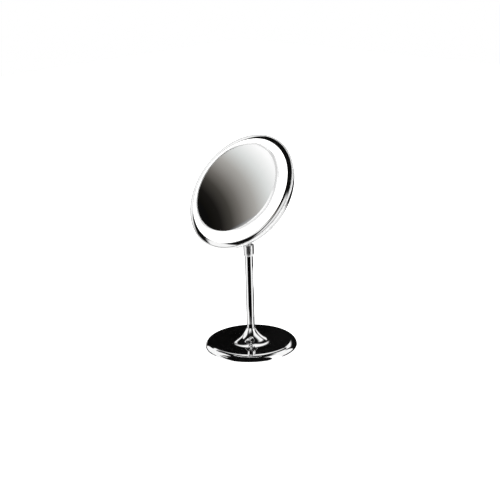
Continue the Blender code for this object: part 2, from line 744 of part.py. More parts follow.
def make_pivot_bolt(face, ear_side):
    """The bolt through the knuckle and both ears, with a domed nut on its right end."""
    where = {"place": (0, -PIVOT_DROP, -PIVOT_BACK), "rotation": AROUND_X}
    nut_start = ear_side + SPRING_WASHER_THICKNESS + GAP
    nut_end = nut_start + NUT_HEIGHT
    nut = along_pivot("acorn_nut", NUT_R, nut_start, nut_end, face, "chrome", steps=6)
    dome_base = nut_end - OVERLAP
    dome = [
        (0, dome_base + NUT_DOME_R),
        *arc((0, dome_base), NUT_DOME_R, 67.5, 0, 3),
        (NUT_DOME_R, nut_start + NUT_DOME_START),
        (0, nut_start + NUT_DOME_START),
    ]
    join(nut, turned("nut_dome", dome, face, "chrome", steps=16, **where))
    cut(nut, along_pivot("nut_bore", PIVOT_R + GAP, nut_start - DRILL_MARGIN, nut_end + GAP, face, "chrome"))
    bolt = along_pivot("pivot_bolt", PIVOT_R, -ear_side - OVERLAP, nut_end, face, "chrome")
    head_end = -ear_side - PIVOT_HEAD_HEIGHT
    across, along = PIVOT_HEAD_TAPER
    head = [
        (0, -ear_side),
        (PIVOT_HEAD_R, -ear_side),
        (PIVOT_HEAD_R, head_end + along),
        (PIVOT_HEAD_R - across, head_end),
        (0, head_end),
    ]
    join(bolt, turned("pivot_bolt_head", head, face, "chrome", **where))


def make_yoke_fixings(face):
    back = SHELL_INSIDE_Z + GAP
    low = (-YOKE_HALF_WIDTH, -PIVOT_DROP - YOKE_HALF_HEIGHT, back)
    high = (YOKE_HALF_WIDTH, -PIVOT_DROP + YOKE_HALF_HEIGHT, back + YOKE_PLATE_THICKNESS)
    plate = block("yoke_plate", low, high, face, "steel")
    head_bottom = back + YOKE_PLATE_THICKNESS + GAP
    end = DISH_BACK_Z - GAP - YOKE_THICKNESS + GAP
    for name, y in yoke_screw_places():
        cut(plate, screw_hole(name + "_plate_hole", 0, y, YOKE_SCREW_R + GAP, face))
        profile = [
            (0, head_bottom + YOKE_SCREW_HEAD_HEIGHT),
            (YOKE_SCREW_HEAD_R, head_bottom + YOKE_SCREW_HEAD_HEIGHT),
            (YOKE_SCREW_HEAD_R, head_bottom),
            (YOKE_SCREW_R, head_bottom),
            (YOKE_SCREW_R, end),
            (0, end),
        ]
        turned(name, profile, face, "steel", steps=12, place=(0, y, 0))


# Head shell and the front of the head


def shell_profile():
    """From the bead's inner side over the bead, down the dish's side and in to the middle of its back."""
    bead = arc((BEAD_CENTRE_R, BEAD_CENTRE_Z), BEAD_R, BEAD_START_DEG, BEAD_END_DEG, 7)
    side = []
    for angle in (6, 18, 31, 44, 58, 73, 90):
        radius = DISH_FLAT_R + (DISH_R - DISH_FLAT_R) * math.cos(math.radians(angle))
        height = DISH_EDGE_Z + (DISH_BACK_Z - DISH_EDGE_Z) * math.sin(math.radians(angle))
        side.append((radius, height))
    return [*bead, *side, (0, DISH_BACK_Z)]


def door_outline(clearance):
    """The door's outline, or with a clearance that of its opening."""
    half = DOOR_HALF_WIDTH + clearance
    bottom = DOOR_BOTTOM_Y - clearance
    top = DOOR_TOP_Y + clearance
    corner = DOOR_CORNER_R
    return [
        *arc((half - corner, bottom + corner), corner, -90, 0, 3),
        *arc((half - corner, top - corner), corner, 0, 90, 3),
        *arc((-half + corner, top - corner), corner, 90, 180, 3),
        *arc((-half + corner, bottom + corner), corner, 180, 270, 3),
    ]


def case_screw_places():
    reach = CASE_SCREW_OFFSET
    return ((reach, reach), (-reach, reach), (-reach, -reach), (reach, -reach))


def make_shell(face):
    shell = turned("head_shell", shell_profile(), face, "chrome", steps=ROUND, wall=SHELL_WALL)
    outline = door_outline(DOOR_CLEARANCE)
    back = (0, 0, DISH_BACK_Z)
    cut(shell, flat_outline("door_opening", outline, DOOR_OPENING_DEPTH, face, "chrome", place=back))
    cut(shell, screw_hole("button_hole", SWITCH_X, SWITCH_Y, BUTTON_R + GAP, face))
    for name, y in yoke_screw_places():
        cut(shell, screw_hole(name + "_shell_hole", 0, y, YOKE_SCREW_R + GAP, face))
    for index, (x, y) in enumerate(case_screw_places(), 1):
        cut(shell, screw_hole(f"case_screw_{index}_shell_hole", x, y, CASE_SCREW_R + GAP, face))


def make_flange(face):
    """The bright flange inside the bead, with a ledge behind the lit ring."""
    profile = [
        *bulged((FLANGE_BORE_R, FLANGE_BORE_Z), (FLANGE_R, FLANGE_EDGE_Z), FLANGE_BULGE, 3),
        (FLANGE_R, FLANGE_EDGE_Z - FLANGE_EDGE_THICKNESS),
        (FLANGE_WALL_R, FLANGE_BORE_Z - FLANGE_THICKNESS),
        (FLANGE_WALL_R, FLANGE_LEDGE_Z),
        (FLANGE_LEDGE_R, FLANGE_LEDGE_Z),
        (FLANGE_LEDGE_R, FLANGE_LEDGE_Z + FLANGE_THICKNESS),
        (FLANGE_BORE_R, FLANGE_LEDGE_Z + FLANGE_THICKNESS),
    ]
    turned("front_flange", profile, face, "chrome", steps=ROUND)


def bulged(start, end, bulge, count):
    """Points from start to end on a shallow arc that bulges to the left of the way it runs."""
    points = []
    along = (end[0] - start[0], end[1] - start[1])
    length = math.hypot(*along)
    left = (-along[1] / length, along[0] / length)
    for index in range(count + 1):
        share = index / count
        rise = bulge * 4 * share * (1 - share)
        x = start[0] + share * along[0] + rise * left[0]
        points.append((x, start[1] + share * along[1] + rise * left[1]))
    return points


def make_diffuser(face):
    """The frosted ring that the lamps shine through: a domed band with a skirt and an inner flange."""
    crest = (DIFFUSER_TOP_R, DIFFUSER_TOP_Z)
    edge = (DIFFUSER_R, DIFFUSER_EDGE_Z)
    wall = DIFFUSER_WALL
    inner_edge = (DIFFUSER_R - wall, DIFFUSER_EDGE_Z - wall / 2)
    inner_crest = (DIFFUSER_TOP_R - wall / 4, DIFFUSER_TOP_Z - wall)
    profile = [
        (DIFFUSER_BORE_R, DIFFUSER_TOP_Z),
        *bulged(crest, edge, DIFFUSER_BULGE, 5),
        (DIFFUSER_R, DIFFUSER_SKIRT_Z),
        (DIFFUSER_R - wall / 2, DIFFUSER_SKIRT_Z),
        *reversed(bulged(inner_crest, inner_edge, DIFFUSER_BULGE, 3)),
        (DIFFUSER_BORE_R, DIFFUSER_TOP_Z - wall),
    ]
    turned("diffuser_ring", profile, face, "frosted_acrylic", steps=ROUND)


def make_bezel(face):
    """The rounded ring that holds the glass."""
    profile = [
        (BEZEL_BORE_R, BEZEL_BORE_Z + BEZEL_LIP),
        *bulged((BEZEL_CREST_R - BEZEL_CREST_WIDTH, BEZEL_CREST_Z), (BEZEL_R, BEZEL_FOOT_Z), BEZEL_BULGE, 4),
        (GLASS_R + GAP, BEZEL_FOOT_Z),
        (GLASS_R + GAP, BEZEL_BORE_Z),
        (BEZEL_BORE_R, BEZEL_BORE_Z),
    ]
    turned("mirror_bezel", profile, face, "white_plastic", steps=ROUND)


def glass_height(radius, edge_z):
    return edge_z - GLASS_SAG * (1 - (radius / GLASS_R) ** 2)


def make_glass(face):
    """The magnifying glass, hollow towards the front and silvered."""
    radii = [GLASS_R * share for share in (0, 0.25, 0.5, 0.75, 1.0)]
    back_edge = GLASS_EDGE_Z - GLASS_THICKNESS
    profile = [(radius, glass_height(radius, GLASS_EDGE_Z)) for radius in radii]
    profile += [(radius, glass_height(radius, back_edge)) for radius in reversed(radii)]
    turned("mirror_glass", profile, face, "mirror_silver", steps=ROUND)
    back_inner = glass_height(PAD_RING_BORE_R, back_edge) - GAP
    back_outer = glass_height(PAD_RING_R, back_edge) - GAP
    pad = [
        (PAD_RING_BORE_R, back_inner),
        (PAD_RING_R, back_outer - GAP),
        (PAD_RING_R, CARRIER_FRONT_Z + GAP),
        (PAD_RING_BORE_R, CARRIER_FRONT_Z + GAP),
    ]
    turned("glass_pad", pad, face, "foam", steps=ROUND)


def make_carrier(face):
    """The moulding behind the glass: a plate with a wall under the glass's edge, bosses and posts."""
    profile = [
        (0, CARRIER_FRONT_Z),
        (CARRIER_WALL_R, CARRIER_FRONT_Z),
        (CARRIER_WALL_R, CARRIER_LIP_TOP_Z),
        (GLASS_R, CARRIER_LIP_TOP_Z),
        (GLASS_R, CARRIER_LEDGE_Z),
        (CARRIER_LEDGE_R, CARRIER_LEDGE_Z),
        (CARRIER_LEDGE_R, CARRIER_LEDGE_Z - CARRIER_LEDGE_THICKNESS),
        (GLASS_R, CARRIER_LEDGE_Z - CARRIER_LEDGE_THICKNESS),
        (GLASS_R, CARRIER_BACK_Z),
        (0, CARRIER_BACK_Z),
    ]
    carrier = turned("mirror_carrier", profile, face, "white_plastic", steps=ROUND)
    root = CARRIER_BACK_Z + OVERLAP
    for index, (x, y) in enumerate(case_screw_places(), 1):
        boss_end = SHELL_INSIDE_Z + GAP
        name = f"case_boss_{index}"
        boss = disc(name, CASE_BOSS_R, boss_end, root, face, "steel", steps=14, place=(x, y, 0))
        start = boss_end - DRILL_MARGIN
        end = boss_end + CASE_SCREW_LENGTH + DRILL_MARGIN
        hole_r = CASE_SCREW_R + GAP
        join(carrier, boss)
        cut(carrier, disc(name + "_hole", hole_r, start, end, face, "steel", steps=10, place=(x, y, 0)))
    posts = [(place, TRAY_FLOOR_Z + GAP) for place in TRAY_POST_PLACES]
    posts += [(place, DRIVER_BACK_Z + DRIVER_THICKNESS + GAP) for place in DRIVER_POST_PLACES]
    for index, ((x, y), end) in enumerate(posts, 1):
        post = disc(f"post_{index}", POST_R, end, root, face, "steel", steps=10, place=(x, y, 0))
        join(carrier, post)


def make_lamps(face):
    """The white trough behind the frosted ring, and the ring board with its lamps."""
    trough = [
        (REFLECTOR_BORE_R, REFLECTOR_INNER_TOP_Z),
        (REFLECTOR_BORE_R + REFLECTOR_WALL, REFLECTOR_INNER_TOP_Z),
        (REFLECTOR_BORE_R + REFLECTOR_WALL, REFLECTOR_BACK_Z + REFLECTOR_WALL),
        (REFLECTOR_R - REFLECTOR_WALL, REFLECTOR_BACK_Z + REFLECTOR_WALL),
        (REFLECTOR_R - REFLECTOR_WALL, REFLECTOR_OUTER_TOP_Z),
        (REFLECTOR_R, REFLECTOR_OUTER_TOP_Z),
        (REFLECTOR_R, REFLECTOR_BACK_Z),
        (REFLECTOR_BORE_R, REFLECTOR_BACK_Z),
    ]
    reflector = turned("reflector_ring", trough, face, "white_plastic", steps=ROUND)
    for index, (x, y) in enumerate(led_lead_ends(), 1):
        start = REFLECTOR_BACK_Z - DRILL_MARGIN
        hole_r = LEAD_R + 2 * GAP
        name = f"lead_hole_{index}"
        cut(reflector, disc(name, hole_r, start, BOARD_BACK_Z, face, "steel", steps=10, place=(x, y, 0)))
    board_front = BOARD_BACK_Z + BOARD_THICKNESS
    heights = (BOARD_BACK_Z, board_front)
    board = ring("led_board", BOARD_BORE_R, BOARD_R, *heights, face, "circuit_board", steps=ROUND)
    join(board, lamp_blocks(face, board_front))


def lamp_blocks(face, board_front):
    """All the lamps as boxes in one guide mesh, sunk a little into the board."""
    boxes = bmesh.new()
    size = Vector(LED_SIZE) + Vector((0, 0, OVERLAP))
    middle_z = board_front - OVERLAP + size.z / 2
    for index in range(LED_COUNT):
        turn = Matrix.Rotation(2 * math.pi * (index + 0.5) / LED_COUNT, 4, "Z")
        shift = Matrix.Translation(Vector((LED_RING_R, 0, middle_z)) * MM)
        bmesh.ops.create_cube(boxes, size=1.0, matrix=turn @ shift @ Matrix.Diagonal((*(size * MM), 1.0)))
    mesh = bpy.data.meshes.new("lamp_blocks")
    boxes.to_mesh(mesh)
    boxes.free()
    return add_object("lamp_blocks", mesh, face, "circuit_board")


# Power and switch


def make_tray(face):
    low = (-TRAY_HALF_WIDTH, TRAY_BOTTOM_Y, TRAY_RIM_Z)
    high = (TRAY_HALF_WIDTH, TRAY_TOP_Y, TRAY_FLOOR_Z)
    tray = block("battery_tray", low, high, face, "white_plastic")
    inset = Vector((TRAY_WALL, TRAY_WALL, 0))
    cavity_low = Vector(low) + inset - Vector((0, 0, DRILL_MARGIN))
    cavity_high = Vector(high) - inset - Vector((0, 0, TRAY_WALL))
    cut(tray, block("tray_cavity", cavity_low, cavity_high, face, "white_plastic"))


def cell_places():
    """Each cell's name, its x and the way its raised end points along y."""
    for index in range(4):
        x = CELL_PITCH * (index - 1.5)
        yield index + 1, x, 1 if index % 2 else -1


def make_cells(face):
    for number, x, way in cell_places():
        half = CELL_LENGTH / 2
        profile = [
            (0, half + NUB_LENGTH),
            (NUB_R, half + NUB_LENGTH),
            (NUB_R, half),
            (CELL_R - CELL_EDGE, half),
            (CELL_R, half - CELL_EDGE),
            (CELL_R, -half + CELL_EDGE),
            (CELL_R - CELL_EDGE, -half),
            (0, -half),
        ]
        place = (x, CELL_MIDDLE_Y, CELL_CENTRE_Z)
        rotation = Euler((-way * math.pi / 2, 0, 0))
        where = {"place": place, "rotation": rotation}
        turned(f"battery_cell_{number}", profile, face, "cell_wrap", steps=18, **where)
        make_cell_spring(number, x, way, face)


def make_cell_spring(number, x, way, face):
    """The conical spring at a cell's flat end."""
    wall_y = TRAY_BOTTOM_Y + TRAY_WALL if way > 0 else TRAY_TOP_Y - TRAY_WALL
    start = wall_y + way * (CONTACT_THICKNESS + 2 * GAP + SPRING_WIRE_R)
    end = CELL_MIDDLE_Y - way * (CELL_LENGTH / 2 + GAP + SPRING_WIRE_R)
    count = round(SPRING_TURNS * SPRING_POINTS_PER_TURN)
    points = []
    for index in range(count + 1):
        share = index / count
        angle = 2 * math.pi * SPRING_TURNS * share
        radius = SPRING_FOOT_R + share * (SPRING_TIP_R - SPRING_FOOT_R)
        y = start + share * (end - start)
        points.append((x + radius * math.cos(angle), y, CELL_CENTRE_Z + radius * math.sin(angle)))
    wire(f"battery_spring_{number}", points, SPRING_WIRE_R, face, "nickel")


def make_contacts(face):
    """The plates that link one cell to the next: two at the tray's top wall, and one at its bottom wall."""
    size = (CONTACT_LENGTH, CONTACT_THICKNESS, CONTACT_HEIGHT)
    for name, side in (("contact_plate_left", -1), ("contact_plate_right", 1)):
        middle = (side * CELL_PITCH, TRAY_TOP_Y - TRAY_WALL - GAP - CONTACT_THICKNESS / 2, CELL_CENTRE_Z)
        middle_block(name, middle, size, face, "nickel")
    middle = (0, TRAY_BOTTOM_Y + TRAY_WALL + GAP + CONTACT_THICKNESS / 2, CELL_CENTRE_Z)
    middle_block("contact_plate_middle", middle, size, face, "nickel")


def make_door(door_axis):
    """The battery door, in a frame on its upper outer edge, with two tongues and a thumb notch."""
    place = (0, -DOOR_TOP_Y, DOOR_THICKNESS / 2)
    door = flat_outline("battery_door", door_outline(0), DOOR_THICKNESS, door_axis, "chrome", place=place)
    for name, x in (("tongue_left", -TONGUE_X), ("tongue_right", TONGUE_X)):
        middle = (x, TONGUE_REACH - TONGUE_SIZE[1] / 2, TONGUE_MIDDLE_Z - DISH_BACK_Z)
        join(door, middle_block(name, middle, TONGUE_SIZE, door_axis, "chrome"))
    notch_y = DOOR_BOTTOM_Y + NOTCH_R - DOOR_TOP_Y
    notch = bmesh.new()
    bmesh.ops.create_uvsphere(notch, u_segments=20, v_segments=10, radius=NOTCH_R * MM)
    mesh = bpy.data.meshes.new("thumb_notch")
    notch.to_mesh(mesh)
    notch.free()
    place = (0, notch_y, NOTCH_CENTRE_Z - DISH_BACK_Z)
    cut(door, add_object("thumb_notch", mesh, door_axis, "chrome", place=place))


def make_button(button_axis):
    """The push button, in a frame on its own axis at the back of the shell: z runs into the head."""
    flange_back = SHELL_WALL + GAP
    profile = [
        (0, BUTTON_STEM_END_Z - DISH_BACK_Z),
        (BUTTON_STEM_R, BUTTON_STEM_END_Z - DISH_BACK_Z),
        (BUTTON_STEM_R, flange_back + BUTTON_FLANGE_THICKNESS),
        (BUTTON_FLANGE_R, flange_back + BUTTON_FLANGE_THICKNESS),
        (BUTTON_FLANGE_R, flange_back),
        (BUTTON_R, flange_back),
        (BUTTON_R, -BUTTON_PROUD + BUTTON_EDGE),
        (BUTTON_R - BUTTON_EDGE, -BUTTON_PROUD),
        (0, -BUTTON_PROUD),
    ]
    turned("switch_button", profile, button_axis, "black_plastic")


def make_switch(face):
    half_x, half_y, depth = SWITCH_SIZE[0] / 2, SWITCH_SIZE[1] / 2, SWITCH_SIZE[2]
    low = (SWITCH_X - half_x, SWITCH_Y - half_y, SWITCH_BACK_Z)
    high = (SWITCH_X + half_x, SWITCH_Y + half_y, SWITCH_BACK_Z + depth)
    body = block("switch_body", low, high, face, "black_plastic")
    bore_top = SWITCH_BACK_Z + SWITCH_BORE_DEPTH
    place = (SWITCH_X, SWITCH_Y, 0)
    bore_r = BUTTON_STEM_R + 2 * GAP
    bore_start = SWITCH_BACK_Z - DRILL_MARGIN
    cut(body, disc("switch_bore", bore_r, bore_start, bore_top, face, "black_plastic", place=place))
    back = DRIVER_BACK_Z
    front = back + DRIVER_THICKNESS
    board_low = (DRIVER_X[0], DRIVER_Y[0], back)
    board = block("driver_board", board_low, (DRIVER_X[1], DRIVER_Y[1], front), face, "circuit_board")
    coil_top = front + COIL_HEIGHT
    coil = disc("coil", COIL_R, front - OVERLAP, coil_top, face, "circuit_board", place=COIL_PLACE)
    chip_middle = (*CHIP_PLACE, front + CHIP_SIZE[2] / 2 - OVERLAP)
    join(board, coil, middle_block("chip", chip_middle, CHIP_SIZE, face, "circuit_board"))


def led_lead_ends():
    """Where the two lamp leads reach the back of the ring board."""
    places = []
    for angle in LED_LEAD_ANGLES_DEG:
        angle = math.radians(angle)
        places.append((LED_RING_R * math.cos(angle), LED_RING_R * math.sin(angle)))
    return places


def make_leads(face):
    battery = (
        ("battery_lead_red", BATTERY_RED_ROUTE, "red_lead"),
        ("battery_lead_black", BATTERY_BLACK_ROUTE, "black_lead"),
    )
    for name, route, finish in battery:
        wire(name, smooth_route(route, LEAD_STEP), LEAD_R, face, finish)
    front = DRIVER_BACK_Z + DRIVER_THICKNESS + GAP + LEAD_R
    edge = DRIVER_X[1]
    beside, behind = LED_LEAD_ELBOW
    lamp = (("led_lead_red", "red_lead"), ("led_lead_black", "black_lead"))
    for (name, finish), start_y, (x, y) in zip(lamp, LED_LEAD_START_Y, led_lead_ends()):
        route = (
            (edge - LED_LEAD_LAP, start_y, front),
            (edge + LED_LEAD_LAP, start_y, front + LED_LEAD_LIFT),
            ((edge + x) / 2, (start_y + y) / 2, front + LED_LEAD_ARCH),
            (x - LED_LEAD_TURN, y, REFLECTOR_BACK_Z - LED_LEAD_TURN),
            (x - beside, y, REFLECTOR_BACK_Z - behind),
            (x, y, BOARD_BACK_Z - GAP),
        )
        wire(name, smooth_route(route, LEAD_STEP), LEAD_R, face, finish)


def make_case_screws(face):
    tip = SHELL_INSIDE_Z + CASE_SCREW_LENGTH
    head_top = DISH_BACK_Z - GAP
    head_bottom = head_top - CASE_HEAD_HEIGHT
    across, along = CASE_HEAD_TAPER
    profile = [
        (0, tip),
        (CASE_SCREW_R, tip),
        (CASE_SCREW_R, head_top),
        (CASE_HEAD_R, head_top),
        (CASE_HEAD_R, head_bottom + along),
        (CASE_HEAD_R - across, head_bottom),
        (0, head_bottom),
    ]
    for index, (x, y) in enumerate(case_screw_places(), 1):
        turned(f"case_screw_{index}", profile, face, "steel", steps=14, place=(x, y, 0))


def make_mirror():
    make_base()
    make_base_bolt()
    make_stem()
    make_collar(make_frame("collar_axis", None, (0, 0, COLLAR_MIDDLE_Z)))
    make_guide_sleeve(make_frame("lift_axis", None, (0, 0, GUIDE_BOTTOM_Z)))
    mast_axis = make_frame("mast_axis", None, (0, 0, PIVOT_HEIGHT))
    make_rod(mast_axis)
    make_knuckle(mast_axis)
    tilt_axis = make_frame("tilt_axis", None, (0, 0, PIVOT_HEIGHT), (math.radians(-TILT_DEG), 0, 0))
    face = make_frame("face", tilt_axis, (0, -PIVOT_BACK, PIVOT_DROP), (math.pi / 2, 0, 0))
    make_yoke(face)
    make_pivot_bolt(face, make_pivot_washers(face))
    make_yoke_fixings(face)
    make_shell(face)
    make_flange(face)
    make_diffuser(face)
    make_bezel(face)
    make_glass(face)
    make_carrier(face)
    make_lamps(face)
    make_tray(face)
    make_cells(face)
    make_contacts(face)
    make_switch(face)
    make_leads(face)
    make_case_screws(face)
    make_door(make_frame("door_axis", face, (0, DOOR_TOP_Y, DISH_BACK_Z)))
    make_button(make_frame("button_axis", face, (SWITCH_X, SWITCH_Y, DISH_BACK_Z)))


clear_scene()
PARTS = make_collection("vanity_mirror")
CUTTERS = make_collection("cutters")
MATERIALS = make_finishes()
make_mirror()
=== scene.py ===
"""The looks of the lighted vanity mirror: finely turned metalwork, the lit ring, the glass and the studio.

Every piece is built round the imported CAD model, in its frame. Sizes are in millimetres where nothing
else is said, and outlines of turned pieces are (radius, height). The head's pieces are drawn in the
face frame: its origin is the centre of the head's rim, x runs to the right, y up across the glass and
z out of it.
"""

import json
import math

import bmesh
import bpy
from mathutils import Matrix, Vector


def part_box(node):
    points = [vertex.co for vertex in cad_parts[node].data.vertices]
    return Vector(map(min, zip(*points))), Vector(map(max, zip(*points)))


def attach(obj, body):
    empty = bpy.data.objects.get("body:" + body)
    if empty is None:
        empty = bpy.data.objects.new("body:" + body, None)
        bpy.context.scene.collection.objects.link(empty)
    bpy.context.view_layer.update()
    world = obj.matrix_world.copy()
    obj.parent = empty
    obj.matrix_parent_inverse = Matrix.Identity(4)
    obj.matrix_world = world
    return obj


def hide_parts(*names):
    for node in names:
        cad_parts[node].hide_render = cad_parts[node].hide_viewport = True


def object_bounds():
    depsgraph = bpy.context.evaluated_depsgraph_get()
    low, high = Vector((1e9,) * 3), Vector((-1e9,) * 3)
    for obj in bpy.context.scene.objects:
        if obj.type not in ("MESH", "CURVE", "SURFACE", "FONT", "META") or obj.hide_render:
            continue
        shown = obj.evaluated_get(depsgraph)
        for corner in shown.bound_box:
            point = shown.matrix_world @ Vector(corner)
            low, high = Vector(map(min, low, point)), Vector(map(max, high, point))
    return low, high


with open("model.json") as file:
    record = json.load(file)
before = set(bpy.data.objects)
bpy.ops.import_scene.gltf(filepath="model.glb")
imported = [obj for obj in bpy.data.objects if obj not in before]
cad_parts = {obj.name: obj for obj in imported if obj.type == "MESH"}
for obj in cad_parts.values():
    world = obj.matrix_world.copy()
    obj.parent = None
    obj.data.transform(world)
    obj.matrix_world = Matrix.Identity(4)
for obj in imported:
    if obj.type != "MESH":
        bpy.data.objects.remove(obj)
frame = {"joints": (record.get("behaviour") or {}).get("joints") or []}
CAD_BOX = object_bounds()

MM = 0.001
FINE = 256  # facets round a large turned piece
MEDIUM = 96  # facets round a stem or a knob
SMALL = 48  # facets round a screw
SHARP = math.radians(33)
FILLET_STEP = math.radians(15)
CORNER_STEPS = 8  # facets round the corner of a plate
BEVEL_STEPS = 3  # facets across a rounded edge
TINY = 1e-6  # less than any distance that matters
MARGIN = 1.0  # how far a cutter reaches past what it cuts
CLEARANCE = 0.3
WHITE = (1, 1, 1, 1)
BLACK = (0, 0, 0, 1)

# Radii of rounded edges
CRISP = 0.2
BROKEN = 0.3
EASED = 0.4
SOFT = 0.5
ROUND = 0.6

# Camera. Its distance and target are in metres.
CAMERA_AZIMUTH = math.radians(44.816)
CAMERA_ELEVATION = math.radians(17.331)
CAMERA_ROLL = math.radians(1.576)
CAMERA_DISTANCE = 2.0
CAMERA_TARGET = Vector((0, 0, 0.190))
CAMERA_LENS = 82.74
CAMERA_SHIFT = (0.00284, -0.01366)

# Finishes
CLOUD_RANGE = (0.3, 0.7)  # the middle of a cloudy pattern's range, which holds nearly all of it
SATIN_PATCH = 4.0
SATIN_ROUGHNESS = (0.27, 0.35)
RING_GRAIN = 0.3
RING_STRETCH = (0.004, 0.004, 1.0)  # draws a cloudy pattern out into rings round the local z axis
RING_DEPTH = 0.0006
DIM_GLOW = (0.93, 0.93, 0.91)
FULL_GLOW = (1.0, 1.0, 0.985)
SLEEVE_BLACK = (0.02, 0.02, 0.022)
SLEEVE_COPPER = (0.72, 0.38, 0.16)
SLEEVE_BLUR = 0.05

# Studio. Directions are azimuths from the front towards +X and elevations, in degrees.
FLOOR_SIZE = 6.0  # metres
FLOOR_DROP = 0.0002  # metres below the part
FLOOR_COLOUR = (0.8, 0.8, 0.8, 1)
FLOOR_LIGHT = 0.9
ROOM_LIGHT = 0.004
TABLE_LIGHT = 0.85
TABLE_TOP = -27.0
TABLE_EDGE = 4.0
KEY_MIDDLE = -58.0
KEY_SLANT = 0.149  # rise of its upper edge for each degree of azimuth
KEY_FADE_START = 28.4
KEY_FADE_END = 44.0
KEY_LEFT = -92.0
KEY_RIGHT = -14.0
KEY_EDGE = 4.0
KEY_CORNER_SUM = -20.0  # low down the key light ends where azimuth and elevation add up to this
KEY_CORNER_EDGE = 2.5
KEY_CORNER_TOP = (25.0, 29.0)  # over these elevations its right side turns upright
KEY_LOW_LEFT = (-76.0, -66.0)  # its left edge below the elevations of KEY_LOW
KEY_LOW = (-10.0, -14.0)
# Its colour by the share of the way from KEY_FADE_START to KEY_FADE_END
KEY_FADE = (
    (0.0, (1.0, 1.0, 1.0)),
    (0.19, (0.70, 0.72, 0.71)),
    (0.38, (0.39, 0.38, 0.36)),
    (0.58, (0.155, 0.145, 0.132)),
    (0.70, (0.052, 0.048, 0.042)),
    (0.84, (0.010, 0.009, 0.008)),
    (1.0, (0.003, 0.003, 0.002)),
)
# The dark wedge below the middle of the key light
GAP_RIGHT = -52.0
GAP_LEAN_START = 24.0  # above this its right side leans to the left
GAP_LEAN = 0.95
GAP_TOP = 26.5
GAP_TOP_EDGE = 1.5
GAP_TOP_WIDTH = 10.0
GAP_WIDENING = 0.8
GAP_BOTTOM = -14.0
GAP_BOTTOM_EDGE = 6.0
GAP_EDGE = 3.0
# Each soft box: middle azimuth, half width, edge, bottom, its edge, top, its edge, strength
SOFT_BOXES = (
    (109.0, 17.0, 5.0, -30.0, 5.0, 42.0, 5.0, 1.2),
    (-97.0, 23.0, 4.0, -8.0, 4.0, 39.5, 2.5, 1.0),
    (-138.0, 13.0, 4.0, 33.0, 3.0, 62.0, 6.0, 1.0),
    (26.0, 27.0, 4.0, 10.0, 6.0, 53.0, 5.0, 0.85),
    (140.0, 46.0, 6.0, 41.0, 4.0, 60.0, 6.0, 1.0),
)
# Cards that stand round the base, seen only in polished metal: azimuth, half width, bottom and top
# in mm, over how many mm the light fades out at its top and bottom, light
CARD_DISTANCE = 130.0
CARDS = {
    "card_left_black": (-111.0, 100.0, 0.0, 100.0, 0.0, 0.002),
    "card_front_black": (38.0, 140.0, 0.0, 150.0, 0.0, 0.002),
    "card_left_white": (-42.0, 47.0, 0.0, 185.0, 0.0, 1.0),
    "card_right_white": (118.0, 45.0, 0.0, 110.0, 0.0, 1.0),
    "card_back_white": (169.0, 45.0, 56.0, 112.0, 18.0, 1.0),
}

# Base and stem
COVER_WALL = 0.8
SHOULDER_R = 69.5
SHOULDER_Z = 10.3
FLARE_FOOT_R = 46.0
FLARE_FOOT_Z = 10.8
FLARE_POWER = 2.5
FLARE_STEPS = 48
FLARE_SPACING = 1.5  # above 1 it sets the points closer together near the neck
SHOULDER_STEPS = 28
NECK_R = 8.1
TUBE_WALL = 0.8
COLLAR_CHAMFER_HEIGHT = 4.6
COLLAR_CHAMFER_EDGE = 1.0
COLLAR_LIP = 3.0
COLLAR_EDGE = 0.7
SPIGOT_R = 3.2
SPIGOT_TOP_Z = 84.3
PAD_GROOVES_R = (24.0, 36.0, 48.0, 60.0, 70.0)
PAD_GROOVE_HALF_WIDTH = 0.9
PAD_GROOVE_DEPTH = 0.6

# Tilt hinge. Depths along the pivot are x, heights on the mast are measured up from the pivot.
KNUCKLE_R = 8.0
KNUCKLE_HALF_WIDTH = 4.5
PIVOT_R = 2.5
NECK_OUTER_R = 5.6
SOCKET_R = 4.8
NECK_TOP = -8.2
NECK_BOTTOM = -17.7
NECK_EDGE = 0.7
SOCKET_TOP = -8.45
WEB_LOW = (-4.4, -3.3, -8.35)
WEB_HIGH = (4.4, 3.3, -3.0)
CROSS_HOLE_R = 1.45
CROSS_HOLE_HEIGHT = -13.0
EAR_INNER_X = 5.9
EAR_THICKNESS = 2.5
EAR_END_R = 8.0
EAR_ROOT_HALF_HEIGHT = 12.0
EAR_ROOT_DEPTH = 14.7
EAR_STEPS = 32
YOKE_HALF_WIDTH = 13.0
YOKE_HALF_HEIGHT = 16.0
YOKE_CORNER_R = 4.0
YOKE_BACK_Z = -32.8
YOKE_FRONT_Z = -30.3
YOKE_SCREW_OFFSET = 12.0
YOKE_SCREW_HOLE_R = 2.3
BOLT_HEAD_START = -8.7
BOLT_HEAD_END = -11.7
BOLT_HEAD_R = 4.4
BOLT_HEAD_BEVEL = 1.0
BOLT_SEAT_EDGE = 0.25
BOLT_END = 13.3
HEX_SOCKET_R = 1.8
HEX_SOCKET_DEPTH = 1.6
NUT_START = 10.0
NUT_END = 13.6
NUT_R = 4.6
NUT_DOME_R = 3.9
NUT_DOME_CENTRE = 13.1
NUT_DOME_FOOT = 11.0
NUT_DOME_STEPS = 16

